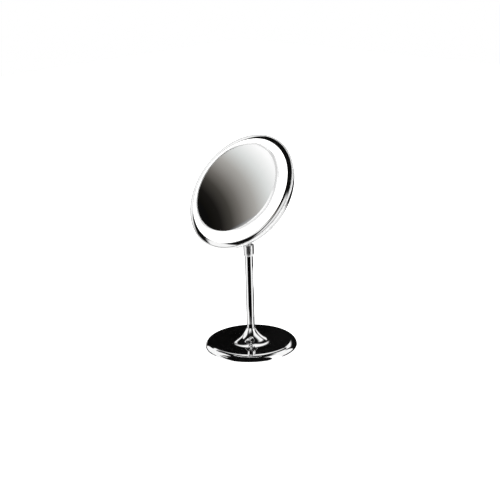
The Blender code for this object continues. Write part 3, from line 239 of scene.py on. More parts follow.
# Head, in the face frame
PIVOT_BACK = 47.0
PIVOT_DROP = 34.5
SHELL_WALL = 0.9
BEAD_CENTRE = (106.4, -0.4)
BEAD_R = 1.6
BEAD_START_DEG = 150
BEAD_INNER_R = 105.2
BEAD_FOOT_Z = -2.4
BEAD_END_DEG = -75
BEAD_STEPS = 36
DISH_R = 105.0
DISH_EDGE_Z = -2.0
DISH_FLAT_R = 62.0
DISH_BACK_Z = -30.0
DISH_START_DEG = 4.0
DISH_STEPS = 40
FLANGE_R = 104.9
FLANGE_EDGE_THICKNESS = 0.5
FLANGE_BORE_R = 97.6
FLANGE_BORE_Z = 3.6
FLANGE_SLOPES_DEG = (5.0, 33.0)  # how far its face leans outwards at its bore and at its rim
FLANGE_STEPS = 16
FLANGE_ROLL = 0.7  # radius of the roll on its inner edge
FLANGE_ROLL_DEG = (180.0, 100.0)
FLANGE_ROLL_STEPS = 6
FLANGE_THICKNESS = 1.2
FLANGE_LEDGE_R = 93.0
FLANGE_LEDGE_Z = -6.0
DIFFUSER_R = 97.3
DIFFUSER_EDGE_Z = 3.6
DIFFUSER_SKIRT_Z = 0.6
DIFFUSER_TOP_R = 86.3
DIFFUSER_TOP_Z = 10.2
DIFFUSER_BORE_R = 83.8
DIFFUSER_BULGE = 1.6
DIFFUSER_WALL = 1.6
DIFFUSER_CHAMFER = 0.4
DIFFUSER_FACE_STEPS = 24
DIFFUSER_BACK_STEPS = 16
BEZEL_R = 86.6
BEZEL_FOOT_Z = 10.6
BEZEL_CREST_R = 82.4
BEZEL_CREST_Z = 15.6
BEZEL_BORE_R = 81.5
BEZEL_BORE_Z = 14.4
BEZEL_LIP = 0.5
BEZEL_BULGE = 0.7
BEZEL_STEPS = 20
GLASS_R = 82.6
GLASS_EDGE_Z = 14.1
GLASS_SAG = 5.6
GLASS_THICKNESS = 2.5
GLASS_STEPS = 32

# Back of the head, in the face frame
DRILL_LOW_Z = -36.0
DRILL_HIGH_Z = -24.0
DOOR_HALF_WIDTH = 30.6
DOOR_BOTTOM_Y = -15.6
DOOR_TOP_Y = 43.6
DOOR_THICKNESS = 1.8
DOOR_CORNER_R = 3.0
DOOR_CLEARANCE = 0.4
DOOR_EDGE = 0.35
TONGUE_X = 20.0
TONGUE_HALF_SIZE = (3.0, 1.8, 0.5)
TONGUE_MIDDLE = (43.1, -28.4)
NOTCH_R = 7.0
NOTCH_CENTRE = (-8.6, -35.4)
NOTCH_STEPS = 24
RIB_HALF_LENGTH = 7.0
RIB_WIDTH = 0.9
RIB_FIRST_Y = -1.5
RIB_PITCH = 2.2
RIB_COUNT = 4
RIB_HEIGHT = 0.25
RIB_EDGE = 0.12
BUTTON_PLACE = (36.0, -26.0)
BUTTON_R = 4.8
BUTTON_PROUD_Z = -32.0
BUTTON_DISH = 0.3
BUTTON_EDGE = 0.8
BUTTON_HOLE_R = 5.1
BUTTON_FLANGE_R = 6.2
BUTTON_FLANGE_Z = (-28.8, -27.8)
BUTTON_STEM_R = 1.8
BUTTON_STEM_END_Z = -22.5
CASE_SCREW_OFFSET = 42.4
CASE_SCREW_R = 1.3
CASE_SCREW_HOLE_R = 1.6
CASE_SCREW_TIP_Z = -20.1
CASE_HEAD_R = 3.2
CASE_HEAD_Z = (-32.0, -30.3)
CASE_HEAD_BEVEL = 0.9
CASE_SEAT_EDGE = 0.15
RECESS_HALF_LENGTH = 1.5
RECESS_HALF_WIDTH = 0.3
RECESS_DEPTH = 1.0
CELL_COUNT = 4
CELL_PITCH = 15.0
CELL_MIDDLE = (14.0, -18.6)
CELL_R = 7.1
CELL_HALF_LENGTH = 24.6
CELL_BEVEL = 0.8
CELL_CRIMP = 0.6
NUB_R = 2.6
NUB_HEIGHT = 1.2
CELL_BAND_START = 9.0
LAMP_COUNT = 24


# The frame


def joint(name):
    """A joint's row in the record."""
    return next(row for row in frame["joints"] if row["name"] == name)


def face_frame():
    """The face frame, from the tilt hinge's place and the way that the button comes out of the head."""
    pivot = Vector(joint("head_tilt")["pos_m"])
    across = Vector((1, 0, 0))
    out = Vector(joint("button_press")["axis"]).normalized()
    up = out.cross(across)
    origin = pivot + (out * PIVOT_BACK + up * PIVOT_DROP) * MM
    return Matrix.Translation(origin) @ Matrix((across, up, out)).transposed().to_4x4()


UPRIGHT = Matrix.Identity(4)
FACE = face_frame()
MAST = Matrix.Translation(joint("head_tilt")["pos_m"])
TURN_TO_X = Matrix.Rotation(math.pi / 2, 4, "Y")  # turns a piece made along z so that it lies along x
ALONG_PIVOT = MAST @ TURN_TO_X
FACE_PIVOT = FACE @ Matrix.Translation(Vector((0, -PIVOT_DROP, -PIVOT_BACK)) * MM) @ TURN_TO_X


def upright_size(node):
    """The (radius, bottom, top) of a CAD node that stands on the stem's axis, in mm."""
    low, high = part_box(node)
    return high.x / MM, low.z / MM, high.z / MM


# Outlines


def arc(centre, radius, start_deg, end_deg, count):
    """Points along an arc, its end points included."""
    points = []
    for index in range(count + 1):
        angle = math.radians(start_deg + (end_deg - start_deg) * index / count)
        points.append((centre[0] + radius * math.cos(angle), centre[1] + radius * math.sin(angle)))
    return points


def corner_arc(before, corner, after, radius):
    """The rounding of one corner, from the side before it to the side after it."""
    here = Vector(corner)
    to_before = (Vector(before) - here).normalized()
    to_after = (Vector(after) - here).normalized()
    inside = to_before.angle(to_after)
    reach = radius / math.tan(inside / 2)
    start = here + to_before * reach
    end = here + to_after * reach
    middle = here + (to_before + to_after).normalized() * (radius / math.sin(inside / 2))
    steps = max(2, math.ceil((math.pi - inside) / FILLET_STEP))
    points = []
    for index in range(steps + 1):
        spread = (start - middle).lerp(end - middle, index / steps).normalized()
        points.append(tuple(middle + spread * radius))
    return points


def filleted(points, closed=False):
    """An outline in which each point given as (x, y, radius) has become a rounded corner."""
    outline = []
    count = len(points)
    for index, point in enumerate(points):
        if len(point) == 2 or (not closed and index in (0, count - 1)):
            outline.append(tuple(point[:2]))
            continue
        before, after = points[index - 1][:2], points[(index + 1) % count][:2]
        outline += corner_arc(before, point[:2], after, point[2])
    return outline


def bulged(start, end, bulge, count):
    """Points from start to end on a shallow arc that bulges to the left of the way it runs."""
    start, end = Vector(start), Vector(end)
    along = end - start
    left = Vector((-along.y, along.x)).normalized()
    points = []
    for index in range(count + 1):
        share = index / count
        points.append(tuple(start + along * share + left * (bulge * 4 * share * (1 - share))))
    return points


# Meshes


def new_object(name, mesh, place=UPRIGHT):
    item = bpy.data.objects.new(name, mesh)
    bpy.context.scene.collection.objects.link(item)
    item.matrix_world = place
    return item


def shade(mesh):
    mesh.shade_smooth()
    mesh.set_sharp_from_angle(angle=SHARP)


def from_bmesh(name, made, place=UPRIGHT):
    bmesh.ops.recalc_face_normals(made, faces=made.faces)
    mesh = bpy.data.meshes.new(name)
    made.to_mesh(mesh)
    made.free()
    shade(mesh)
    return new_object(name, mesh, place)


def turned(name, outline, place=UPRIGHT, steps=FINE, closed=False):
    """Turns an outline of (radius, height) points in mm about the local z axis."""
    made = bmesh.new()
    rows = []
    for radius, height in outline:
        if radius < TINY:
            rows.append([made.verts.new((0, 0, height * MM))])
            continue
        row = []
        for index in range(steps):
            angle = 2 * math.pi * index / steps
            x, y = radius * math.cos(angle) * MM, radius * math.sin(angle) * MM
            row.append(made.verts.new((x, y, height * MM)))
        rows.append(row)
    pairs = list(zip(rows, rows[1:]))
    if closed:
        pairs.append((rows[-1], rows[0]))
    for first, second in pairs:
        for index in range(steps):
            after = (index + 1) % steps
            corners = [first[index % len(first)], first[after % len(first)]]
            corners += [second[after % len(second)], second[index % len(second)]]
            made.faces.new(list(dict.fromkeys(corners)))
    return from_bmesh(name, made, place)


def settled(item):
    """The object with its modifiers made part of its mesh."""
    bpy.context.view_layer.update()
    mesh = bpy.data.meshes.new_from_object(item.evaluated_get(bpy.context.evaluated_depsgraph_get()))
    item.modifiers.clear()
    item.data = mesh
    shade(mesh)
    return item


def thickened(item, wall):
    """Gives a surface a wall of this many mm on its inner side."""
    solidify = item.modifiers.new("wall", "SOLIDIFY")
    solidify.thickness = wall * MM
    solidify.offset = -1
    return settled(item)


def combined(item, operation, tools):
    for tool in tools:
        boolean = item.modifiers.new(tool.name, "BOOLEAN")
        boolean.operation = operation
        boolean.solver = "EXACT"
        boolean.object = tool
    settled(item)
    for tool in tools:
        bpy.data.objects.remove(tool)
    return item


def cut(item, *tools):
    """Takes the tools' shapes out of the item."""
    return combined(item, "DIFFERENCE", tools)


def joined(item, *tools):
    """Makes the tools' shapes part of the item."""
    return combined(item, "UNION", tools)


def drill(name, radius, low, high, place=UPRIGHT):
    return turned(name, [(0, low), (radius, low), (radius, high), (0, high)], place, steps=SMALL)


def in_face(x, y, z=0.0):
    """The face frame moved to a point of it, in mm."""
    return FACE @ Matrix.Translation(Vector((x, y, z)) * MM)


def rounded_outline(half_width, low_y, high_y, radius):
    """A rectangle with rounded corners, from its lower right corner on."""
    return [
        *arc((half_width - radius, low_y + radius), radius, -90, 0, CORNER_STEPS),
        *arc((half_width - radius, high_y - radius), radius, 0, 90, CORNER_STEPS),
        *arc((-half_width + radius, high_y - radius), radius, 90, 180, CORNER_STEPS),
        *arc((-half_width + radius, low_y + radius), radius, 180, 270, CORNER_STEPS),
    ]


def hexagon(radius):
    return arc((0, 0), radius, 0, 300, 5)


def bevelled(made, edges, radius):
    """Rounds these edges to a radius in mm."""
    bmesh.ops.bevel(
        made, geom=edges, offset=radius * MM, segments=BEVEL_STEPS, profile=0.5, affect="EDGES"
    )


def block(name, low, high, place=UPRIGHT, edge=0.0):
    """A box between two corners in mm, its edges rounded."""
    made = bmesh.new()
    low, high = Vector(low) * MM, Vector(high) * MM
    size = Matrix.Diagonal((*(high - low), 1.0))
    bmesh.ops.create_cube(made, size=1.0, matrix=Matrix.Translation((low + high) / 2) @ size)
    if edge:
        bevelled(made, made.edges[:], edge)
    return from_bmesh(name, made, place)


def plate(name, outline, bottom, top, place=UPRIGHT, edge=0.0):
    """A flat outline in mm raised from bottom to top, with rounded rims."""
    made = bmesh.new()
    lower = [made.verts.new((x * MM, y * MM, bottom * MM)) for x, y in outline]
    upper = [made.verts.new((x * MM, y * MM, top * MM)) for x, y in outline]
    made.faces.new(lower[::-1])
    made.faces.new(upper)
    count = len(outline)
    for index in range(count):
        after = (index + 1) % count
        made.faces.new((lower[index], lower[after], upper[after], upper[index]))
    if edge:
        rims = [side for side in made.edges if abs(side.verts[0].co.z - side.verts[1].co.z) < TINY * MM]
        bevelled(made, rims, edge)
    return from_bmesh(name, made, place)


def fitted(item, body, slot, material, *nodes):
    """Gives a piece its finish and its body, and lets it stand for CAD nodes."""
    item.data.materials.clear()
    item.data.materials.append(material)
    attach(item, body)
    if nodes:
        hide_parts(*nodes)
    return item


# Shader nodes


def connect(tree, socket, value):
    """Links a socket to another one, or sets it to a plain value."""
    if isinstance(value, bpy.types.NodeSocket):
        tree.links.new(value, socket)
    else:
        socket.default_value = value


def coordinates(tree, kind="Object"):
    """The x, y and z sockets of the object's own coordinates, or of another kind."""
    split = tree.nodes.new("ShaderNodeSeparateXYZ")
    tree.links.new(tree.nodes.new("ShaderNodeTexCoord").outputs[kind], split.inputs[0])
    return tuple(split.outputs)


def node_maths(tree, operation, *values):
    """A Math node fed with numbers and sockets; gives its result socket."""
    node = tree.nodes.new("ShaderNodeMath")
    node.operation = operation
    for socket, value in zip(node.inputs, values):
        connect(tree, socket, value)
    return node.outputs[0]


def map_range(tree, value, start, end, low=0.0, high=1.0, shape="LINEAR"):
    """Low up to start and high from end on, with a slope between them; end may be below start."""
    node = tree.nodes.new("ShaderNodeMapRange")
    node.interpolation_type = shape
    tree.links.new(value, node.inputs["Value"])
    for socket, number in zip(("From Min", "From Max", "To Min", "To Max"), (start, end, low, high)):
        node.inputs[socket].default_value = number
    return node.outputs["Result"]


def smooth_step(tree, value, start, end):
    """0 up to start and 1 from end on, rising smoothly between them; end may be below start."""
    return map_range(tree, value, start, end, shape="SMOOTHSTEP")


def mixed(tree, factor, first, second, kind="RGBA", blend="MIX"):
    """Two colours mixed, or two numbers where the kind is FLOAT."""
    node = tree.nodes.new("ShaderNodeMix")
    node.data_type = kind
    node.blend_type = blend
    for socket, value in zip(("Factor", "A", "B"), (factor, first, second)):
        connect(tree, node.inputs[socket], value)
    return node.outputs["Result"]


def colour_ramp(tree, value, stops):
    """Colours a value by (position, colour) stops."""
    stops = tuple(stops)
    node = tree.nodes.new("ShaderNodeValToRGB")
    tree.links.new(value, node.inputs["Fac"])
    elements = node.color_ramp.elements
    while len(elements) < len(stops):
        elements.new(1.0)
    for element, (position, colour) in zip(elements, stops):
        element.position = position
        element.color = (*colour, 1)
    return node.outputs["Color"]


# Finishes


def new_material(name, **sockets):
    """A material whose shader has these values on its own sockets."""
    material = bpy.data.materials.new(name)
    material.use_nodes = True
    shader = material.node_tree.nodes["Principled BSDF"]
    for socket, value in sockets.items():
        shader.inputs[socket.replace("_", " ")].default_value = value
    return material


def cloud(tree, grain, stretch=(1.0, 1.0, 1.0)):
    """A cloudy pattern whose patches are about this many mm across before they are stretched."""
    mapping = tree.nodes.new("ShaderNodeMapping")
    mapping.inputs["Scale"].default_value = stretch
    tree.links.new(tree.nodes.new("ShaderNodeTexCoord").outputs["Object"], mapping.inputs["Vector"])
    node = tree.nodes.new("ShaderNodeTexNoise")
    node.inputs["Scale"].default_value = 1 / (grain * MM)
    tree.links.new(mapping.outputs["Vector"], node.inputs["Vector"])
    return node.outputs["Fac"]


def between(tree, value, low, high):
    """Spreads the middle of a cloudy pattern's range from low to high."""
    return map_range(tree, value, *CLOUD_RANGE, low, high)


def feed(material, socket, value):
    """Links a pattern to one of the shader's sockets."""
    tree = material.node_tree
    tree.links.new(value, tree.nodes["Principled BSDF"].inputs[socket])


def emboss(material, height, depth):
    """Bumps of this depth in mm where the height goes from 0 to 1."""
    tree = material.node_tree
    bump = tree.nodes.new("ShaderNodeBump")
    bump.inputs["Distance"].default_value = depth * MM
    tree.links.new(height, bump.inputs["Height"])
    feed(material, "Normal", bump.outputs["Normal"])


def uneven(name, roughness, patch, grain, depth, metallic=0.0, **sockets):
    """A finish whose roughness wanders between two ends over patches of this size in mm.

    Its surface has bumps of the given grain and depth in mm. Gives the material and its patches.
    """
    material = new_material(name, Metallic=metallic, **sockets)
    tree = material.node_tree
    patches = cloud(tree, patch)
    feed(material, "Roughness", between(tree, patches, *roughness))
    emboss(material, cloud(tree, grain), depth)
    return material, patches


def wandering(name, colours, *texture, **sockets):
    """An uneven finish whose colour wanders too."""
    material, patches = uneven(name, *texture, **sockets)
    ramp = colour_ramp(material.node_tree, patches, zip(CLOUD_RANGE, colours))
    feed(material, "Base Color", ramp)
    return material


def greys(first, second):
    return (first,) * 3, (second,) * 3


# Each plain finish: the name of its material, the two colours and the two roughnesses that it wanders
# between, the size of its patches, the grain and depth of its bumps, and how metallic it is
PLAIN_FINISHES = {
    "chrome": ("chrome", greys(0.90, 0.95), (0.025, 0.055), 9.0, 1.2, 0.0005, 1.0),
    "base": ("base_chrome", greys(0.90, 0.95), (0.04, 0.07), 9.0, 1.2, 0.0005, 1.0),
    "silver": ("silver", greys(0.975, 0.985), (0.0, 0.006), 14.0, 9.0, 0.00002, 1.0),
    # bead: near-white and only partly metallic, so the even white light makes it a painted highlight along
    # the polished rim
    "bead": ("bead", greys(0.93, 0.97), (0.20, 0.30), 6.0, 0.9, 0.001, 0.35),
    # bezel: its glossy reflections are real, but its near-white colour is a painted reflection of the lit
    # ring in the polished bezel
    "bezel": ("bezel", greys(0.91, 0.94), (0.07, 0.11), 8.0, 0.9, 0.0008, 0.3),
    "white": ("white_moulding", greys(0.86, 0.91), (0.30, 0.42), 5.0, 0.4, 0.004),
    "black": ("black_moulding", greys(0.014, 0.030), (0.30, 0.48), 4.0, 0.25, 0.006),
    "rubber": ("pad_rubber", greys(0.018, 0.036), (0.60, 0.82), 3.0, 0.35, 0.03),
    "iron": ("cast_iron", greys(0.10, 0.20), (0.55, 0.80), 3.0, 0.9, 0.08, 0.7),
    "zinc": (
        "zinc_steel", ((0.55, 0.57, 0.61), (0.70, 0.68, 0.62)), (0.24, 0.42), 2.5, 0.25, 0.003, 1.0,
    ),
    "nickel": (
        "nickel", ((0.68, 0.65, 0.58), (0.79, 0.76, 0.70)), (0.20, 0.34), 2.0, 0.3, 0.002, 1.0,
    ),
    "nylon": ("nylon", ((0.79, 0.77, 0.70), (0.88, 0.87, 0.82)), (0.34, 0.50), 4.0, 0.3, 0.005),
    "foam": ("foam", greys(0.05, 0.10), (0.88, 1.0), 1.2, 0.5, 0.15),
    "green_board": (
        "green_board", ((0.01, 0.10, 0.045), (0.03, 0.20, 0.09)), (0.24, 0.42), 0.9, 0.6, 0.02,
    ),
    "white_board": ("white_board", greys(0.80, 0.90), (0.28, 0.45), 1.5, 0.6, 0.02),
    "red_lead": (
        "red_lead", ((0.52, 0.02, 0.02), (0.70, 0.05, 0.03)), (0.30, 0.45), 1.5, 0.3, 0.004,
    ),
    "black_lead": ("black_lead", greys(0.012, 0.028), (0.32, 0.46), 1.5, 0.3, 0.004),
}


def satin_finish():
    """Metal turned smooth, with the faint rings that the tool left round it."""
    material = new_material("satin", Metallic=1.0)
    tree = material.node_tree
    rings = cloud(tree, RING_GRAIN, RING_STRETCH)
    tint = colour_ramp(tree, cloud(tree, SATIN_PATCH), zip(CLOUD_RANGE, greys(0.88, 0.94)))
    feed(material, "Base Color", tint)
    feed(material, "Roughness", between(tree, rings, *SATIN_ROUGHNESS))
    emboss(material, rings, RING_DEPTH)
    return material


def frosted_finish():
    """Milky acrylic, lit from behind by the ring of lamps."""
    material = wandering(
        "frosted", greys(0.93, 0.96), (0.45, 0.6), 6.0, 0.3, 0.004, Emission_Strength=1.0
    )
    tree = material.node_tree
    x, y, _ = coordinates(tree)
    around = node_maths(tree, "MULTIPLY", node_maths(tree, "ARCTAN2", y, x), float(LAMP_COUNT))
    lamps = node_maths(tree, "MULTIPLY_ADD", node_maths(tree, "COSINE", around), 0.5, 0.5)
    feed(material, "Emission Color", colour_ramp(tree, lamps, ((0.0, DIM_GLOW), (1.0, FULL_GLOW))))
    return material


def cell_finish():
    """A dry cell's printed sleeve: black, with a copper band at its raised end."""
    material, _ = uneven("cell_sleeve", (0.22, 0.38), 3.0, 0.5, 0.002, metallic=0.6)
    tree = material.node_tree
    low, high = (CELL_BAND_START - SLEEVE_BLUR) * MM, (CELL_BAND_START + SLEEVE_BLUR) * MM
    band = smooth_step(tree, coordinates(tree)[2], low, high)
    feed(material, "Base Color", colour_ramp(tree, band, ((0.0, SLEEVE_BLACK), (1.0, SLEEVE_COPPER))))
    return material


def make_finishes():
    """Every finish by its short name."""
    plain = {key: wandering(*values) for key, values in PLAIN_FINISHES.items()}
    return {**plain, "satin": satin_finish(), "frosted": frosted_finish(), "cell": cell_finish()}


# Base and stem


def make_base_cover():
    """The trumpet, from its neck down the flare and over the shoulder to the rolled rim."""
    rim_r, rim_z, neck_z = upright_size("base_cover")
    outline = []
    for index in range(FLARE_STEPS + 1):
        share = (index / FLARE_STEPS) ** FLARE_SPACING
        height = FLARE_FOOT_Z + (neck_z - FLARE_FOOT_Z) * (1 - share) ** FLARE_POWER
        outline.append((NECK_R + share * (FLARE_FOOT_R - NECK_R), height))
    for index in range(SHOULDER_STEPS + 1):
        angle = math.radians(90 * (1 - index / SHOULDER_STEPS))
        radius = SHOULDER_R + (rim_r - SHOULDER_R) * math.cos(angle)
        outline.append((radius, rim_z + (SHOULDER_Z - rim_z) * math.sin(angle)))
    cover = thickened(turned("base_cover_shell", outline), COVER_WALL)
    return fitted(cover, "base", "polished_chrome", FINISHES["base"], "base_cover")


def make_tube():
    radius, bottom, top = upright_size("stem_tube")
    bore = radius - TUBE_WALL
    corners = [(bore, bottom, CRISP), (radius, bottom, CRISP), (radius, top, BROKEN), (bore, top, CRISP)]
    tube = turned("stem_tube_polished", filleted(corners, closed=True), steps=MEDIUM, closed=True)
    return fitted(tube, "base", "polished_chrome", FINISHES["chrome"], "stem_tube")


def make_collar():
    radius, bottom, top = upright_size("stem_collar")
    tube_r = upright_size("stem_tube")[0] + CLEARANCE
    rod_r = upright_size("mast_rod")[0] + CLEARANCE
    outline = filleted(
        [
            (rod_r, top, BROKEN),
            (radius, top, COLLAR_EDGE),
            (radius, bottom + COLLAR_CHAMFER_HEIGHT, COLLAR_CHAMFER_EDGE),
            (tube_r + COLLAR_EDGE, bottom, EASED),
            (tube_r, bottom),
            (tube_r, top - COLLAR_LIP),
            (rod_r, top - COLLAR_LIP),
        ],
        closed=True,
    )
    collar = turned("stem_collar_turned", outline, steps=MEDIUM, closed=True)
    return fitted(collar, "collar", "satin_chrome", FINISHES["satin"], "stem_collar")


def make_rod():
    radius, bottom, top = upright_size("mast_rod")
    outline = filleted(
        [
            (0, top),
            (radius, top, SOFT),
            (radius, SPIGOT_TOP_Z, EASED),
            (SPIGOT_R, SPIGOT_TOP_Z),
            (SPIGOT_R, bottom, EASED),
            (0, bottom),
        ]
    )
    rod = turned("mast_rod_polished", outline, steps=MEDIUM)
    return fitted(rod, "mast", "polished_chrome", FINISHES["chrome"], "mast_rod")


def make_foot_pad():
    """The rubber pad, with shallow grooves underneath."""
    radius, bottom, top = upright_size("foot_pad")
    half = PAD_GROOVE_HALF_WIDTH
    roof = bottom + PAD_GROOVE_DEPTH
    underside = [(0, bottom)]
    for groove_r in PAD_GROOVES_R:
        underside += [(groove_r - half, bottom), (groove_r - half / 2, roof)]
        underside += [(groove_r + half / 2, roof), (groove_r + half, bottom)]
    outline = filleted([*underside, (radius, bottom, EASED), (radius, top, EASED), (0, top)])
    return fitted(turned("foot_pad_grooved", outline), "base", "pad_rubber", FINISHES["rubber"], "foot_pad")


# Tilt hinge


def make_knuckle():
    """The barrel on the rod's end, with its neck, pivot bore and the hole for the cross pin."""
    half = KNUCKLE_HALF_WIDTH
    bore = PIVOT_R + CLEARANCE
    barrel = filleted(
        [(bore, -half, CRISP), (KNUCKLE_R, -half, ROUND), (KNUCKLE_R, half, ROUND), (bore, half, CRISP)],
        closed=True,
    )
    knuckle = turned("pivot_knuckle_polished", barrel, ALONG_PIVOT, MEDIUM, closed=True)
    neck = [
        (0, NECK_TOP),
        (NECK_OUTER_R, NECK_TOP, NECK_EDGE),
        (NECK_OUTER_R, NECK_BOTTOM, EASED),
        (SOCKET_R, NECK_BOTTOM),
        (SOCKET_R, SOCKET_TOP),
        (0, SOCKET_TOP),
    ]
    web = block("knuckle_web", WEB_LOW, WEB_HIGH, MAST)
    joined(knuckle, web, turned("knuckle_neck", filleted(neck), MAST, MEDIUM))
    across = MAST @ Matrix.Translation((0, 0, CROSS_HOLE_HEIGHT * MM)) @ TURN_TO_X
    pivot = drill("knuckle_bore", bore, -half - MARGIN, half + MARGIN, ALONG_PIVOT)
    cut(knuckle, pivot, drill("cross_hole", CROSS_HOLE_R, -KNUCKLE_R, KNUCKLE_R, across))
    return fitted(knuckle, "mast", "polished_chrome", FINISHES["chrome"], "pivot_knuckle")


def yoke_screw_heights():
    return -PIVOT_DROP + YOKE_SCREW_OFFSET, -PIVOT_DROP - YOKE_SCREW_OFFSET


def make_yoke():
    """The plate on the back of the head with its two ears."""
    middle = -PIVOT_DROP
    outline = rounded_outline(
        YOKE_HALF_WIDTH, middle - YOKE_HALF_HEIGHT, middle + YOKE_HALF_HEIGHT, YOKE_CORNER_R
    )
    yoke = plate("pivot_yoke_polished", outline, YOKE_BACK_Z, YOKE_FRONT_Z, FACE, edge=SOFT)
    root = [(-EAR_ROOT_DEPTH, EAR_ROOT_HALF_HEIGHT), (-EAR_ROOT_DEPTH, -EAR_ROOT_HALF_HEIGHT)]
    ear = [*root, *arc((0, 0), EAR_END_R, -90, 90, EAR_STEPS)]
    outer = EAR_INNER_X + EAR_THICKNESS
    right = plate("ear_right", ear, EAR_INNER_X, outer, FACE_PIVOT, edge=EASED)
    joined(yoke, right, plate("ear_left", ear, -outer, -EAR_INNER_X, FACE_PIVOT, edge=EASED))
    tools = [drill("yoke_bore", PIVOT_R + CLEARANCE, -outer - MARGIN, outer + MARGIN, FACE_PIVOT)]
    for y in yoke_screw_heights():
        tools.append(drill("yoke_screw_hole", YOKE_SCREW_HOLE_R, DRILL_LOW_Z, DRILL_HIGH_Z, in_face(0, y)))
    cut(yoke, *tools)
    return fitted(yoke, "head", "polished_chrome", FINISHES["chrome"], "pivot_yoke")


def make_pivot_bolt():
    start, end, head_r = BOLT_HEAD_START, BOLT_HEAD_END, BOLT_HEAD_R
    outline = [
        (0, end),
        (head_r - BOLT_HEAD_BEVEL, end, ROUND),
        (head_r, end + BOLT_HEAD_BEVEL, ROUND),
        (head_r, start, BOLT_SEAT_EDGE),
        (PIVOT_R, start),
        (PIVOT_R, BOLT_END, EASED),
        (0, BOLT_END),
    ]
    bolt = turned("pivot_bolt_polished", filleted(outline), FACE_PIVOT, MEDIUM)
    cut(bolt, plate("hex_socket", hexagon(HEX_SOCKET_R), end - MARGIN, end + HEX_SOCKET_DEPTH, FACE_PIVOT))
    return fitted(bolt, "head", "polished_chrome", FINISHES["chrome"], "pivot_bolt")


def make_nut():
    """The domed nut."""
    nut = plate("acorn_nut_polished", hexagon(NUT_R), NUT_START, NUT_END, FACE_PIVOT, edge=BROKEN)
    crown = arc((0, NUT_DOME_CENTRE), NUT_DOME_R, 0, 90, NUT_DOME_STEPS)
    dome = [(0, NUT_DOME_FOOT), (NUT_DOME_R, NUT_DOME_FOOT), *crown]
    joined(nut, turned("nut_dome", dome, FACE_PIVOT, SMALL))
    cut(nut, drill("nut_bore", PIVOT_R + CLEARANCE, NUT_START - MARGIN, NUT_END + CLEARANCE, FACE_PIVOT))
    return fitted(nut, "head", "polished_chrome", FINISHES["chrome"], "acorn_nut")


# Head


def case_screw_places():
    reach = CASE_SCREW_OFFSET
    return (reach, reach), (-reach, reach), (-reach, -reach), (reach, -reach)


def door_outline(clearance):
    """The door's outline, or with a clearance that of its opening."""
    return rounded_outline(
        DOOR_HALF_WIDTH + clearance, DOOR_BOTTOM_Y - clearance, DOOR_TOP_Y + clearance, DOOR_CORNER_R
    )


def shell_openings():
    low, high = DRILL_LOW_Z, DRILL_HIGH_Z
    tools = [plate("door_opening", door_outline(DOOR_CLEARANCE), low, high, FACE)]
    tools.append(drill("button_hole", BUTTON_HOLE_R, low, high, in_face(*BUTTON_PLACE)))
    for y in yoke_screw_heights():
        tools.append(drill("shell_hole", YOKE_SCREW_HOLE_R, low, high, in_face(0, y)))
    for place in case_screw_places():
        tools.append(drill("shell_hole", CASE_SCREW_HOLE_R, low, high, in_face(*place)))
    return tools


def make_door():
    """The battery door, with a thumb notch, grip ribs and two tongues along its upper edge."""
    back = DISH_BACK_Z
    door = plate("battery_door_plated", door_outline(0), back, back + DOOR_THICKNESS, FACE, edge=DOOR_EDGE)
    tools = []
    half = Vector(TONGUE_HALF_SIZE)
    for x in (-TONGUE_X, TONGUE_X):
        middle = Vector((x, *TONGUE_MIDDLE))
        tools.append(block("tongue", middle - half, middle + half, FACE, edge=CRISP))
    for index in range(RIB_COUNT):
        y = RIB_FIRST_Y + RIB_PITCH * index
        low = (-RIB_HALF_LENGTH, y, back - RIB_HEIGHT)
        high = (RIB_HALF_LENGTH, y + RIB_WIDTH, back + 2 * RIB_HEIGHT)
        tools.append(block("rib", low, high, FACE, edge=RIB_EDGE))
    joined(door, *tools)
    half_circle = arc((0, 0), NOTCH_R, -90, 90, NOTCH_STEPS)
    ball = [(0, -NOTCH_R), *half_circle[1:-1], (0, NOTCH_R)]
    cut(door, turned("thumb_notch", ball, in_face(0, *NOTCH_CENTRE)))
    return fitted(door, "door", "plated_trim", FINISHES["chrome"], "battery_door")


def make_button():
    """The push button, its cap slightly dished."""
    back, front = BUTTON_FLANGE_Z
    outline = [
        (0, BUTTON_STEM_END_Z),
        (BUTTON_STEM_R, BUTTON_STEM_END_Z, BROKEN),
        (BUTTON_STEM_R, front),
        (BUTTON_FLANGE_R, front, CRISP),
        (BUTTON_FLANGE_R, back, CRISP),
        (BUTTON_R, back),
        (BUTTON_R, BUTTON_PROUD_Z, BUTTON_EDGE),
        (BUTTON_R / 2, BUTTON_PROUD_Z + BUTTON_DISH / 2),
        (0, BUTTON_PROUD_Z + BUTTON_DISH),
    ]
    button = turned("switch_button_moulded", filleted(outline), in_face(*BUTTON_PLACE), MEDIUM)
    return fitted(button, "button", "black_moulding", FINISHES["black"], "switch_button")


def make_case_screws():
    """The four screws through the back of the head, each with a cross recess."""
    low, high = CASE_HEAD_Z
    outline = [
        (0, low),
        (CASE_HEAD_R - CASE_HEAD_BEVEL, low, ROUND),
        (CASE_HEAD_R, low + CASE_HEAD_BEVEL, SOFT),
        (CASE_HEAD_R, high, CASE_SEAT_EDGE),
        (CASE_SCREW_R, high),
        (CASE_SCREW_R, CASE_SCREW_TIP_Z, EASED),
        (0, CASE_SCREW_TIP_Z),
    ]
    long, thin = RECESS_HALF_LENGTH, RECESS_HALF_WIDTH
    start, deep = low - MARGIN, low + RECESS_DEPTH
    for number, place in enumerate(case_screw_places(), 1):
        there = in_face(*place)
        screw = turned(f"case_screw_{number}_pan", filleted(outline), there, SMALL)
        across = block("recess_across", (-long, -thin, start), (long, thin, deep), there)
        cut(screw, across, block("recess_upright", (-thin, -long, start), (thin, long, deep), there))
        fitted(screw, "head", "zinc_steel", FINISHES["zinc"], f"case_screw_{number}")


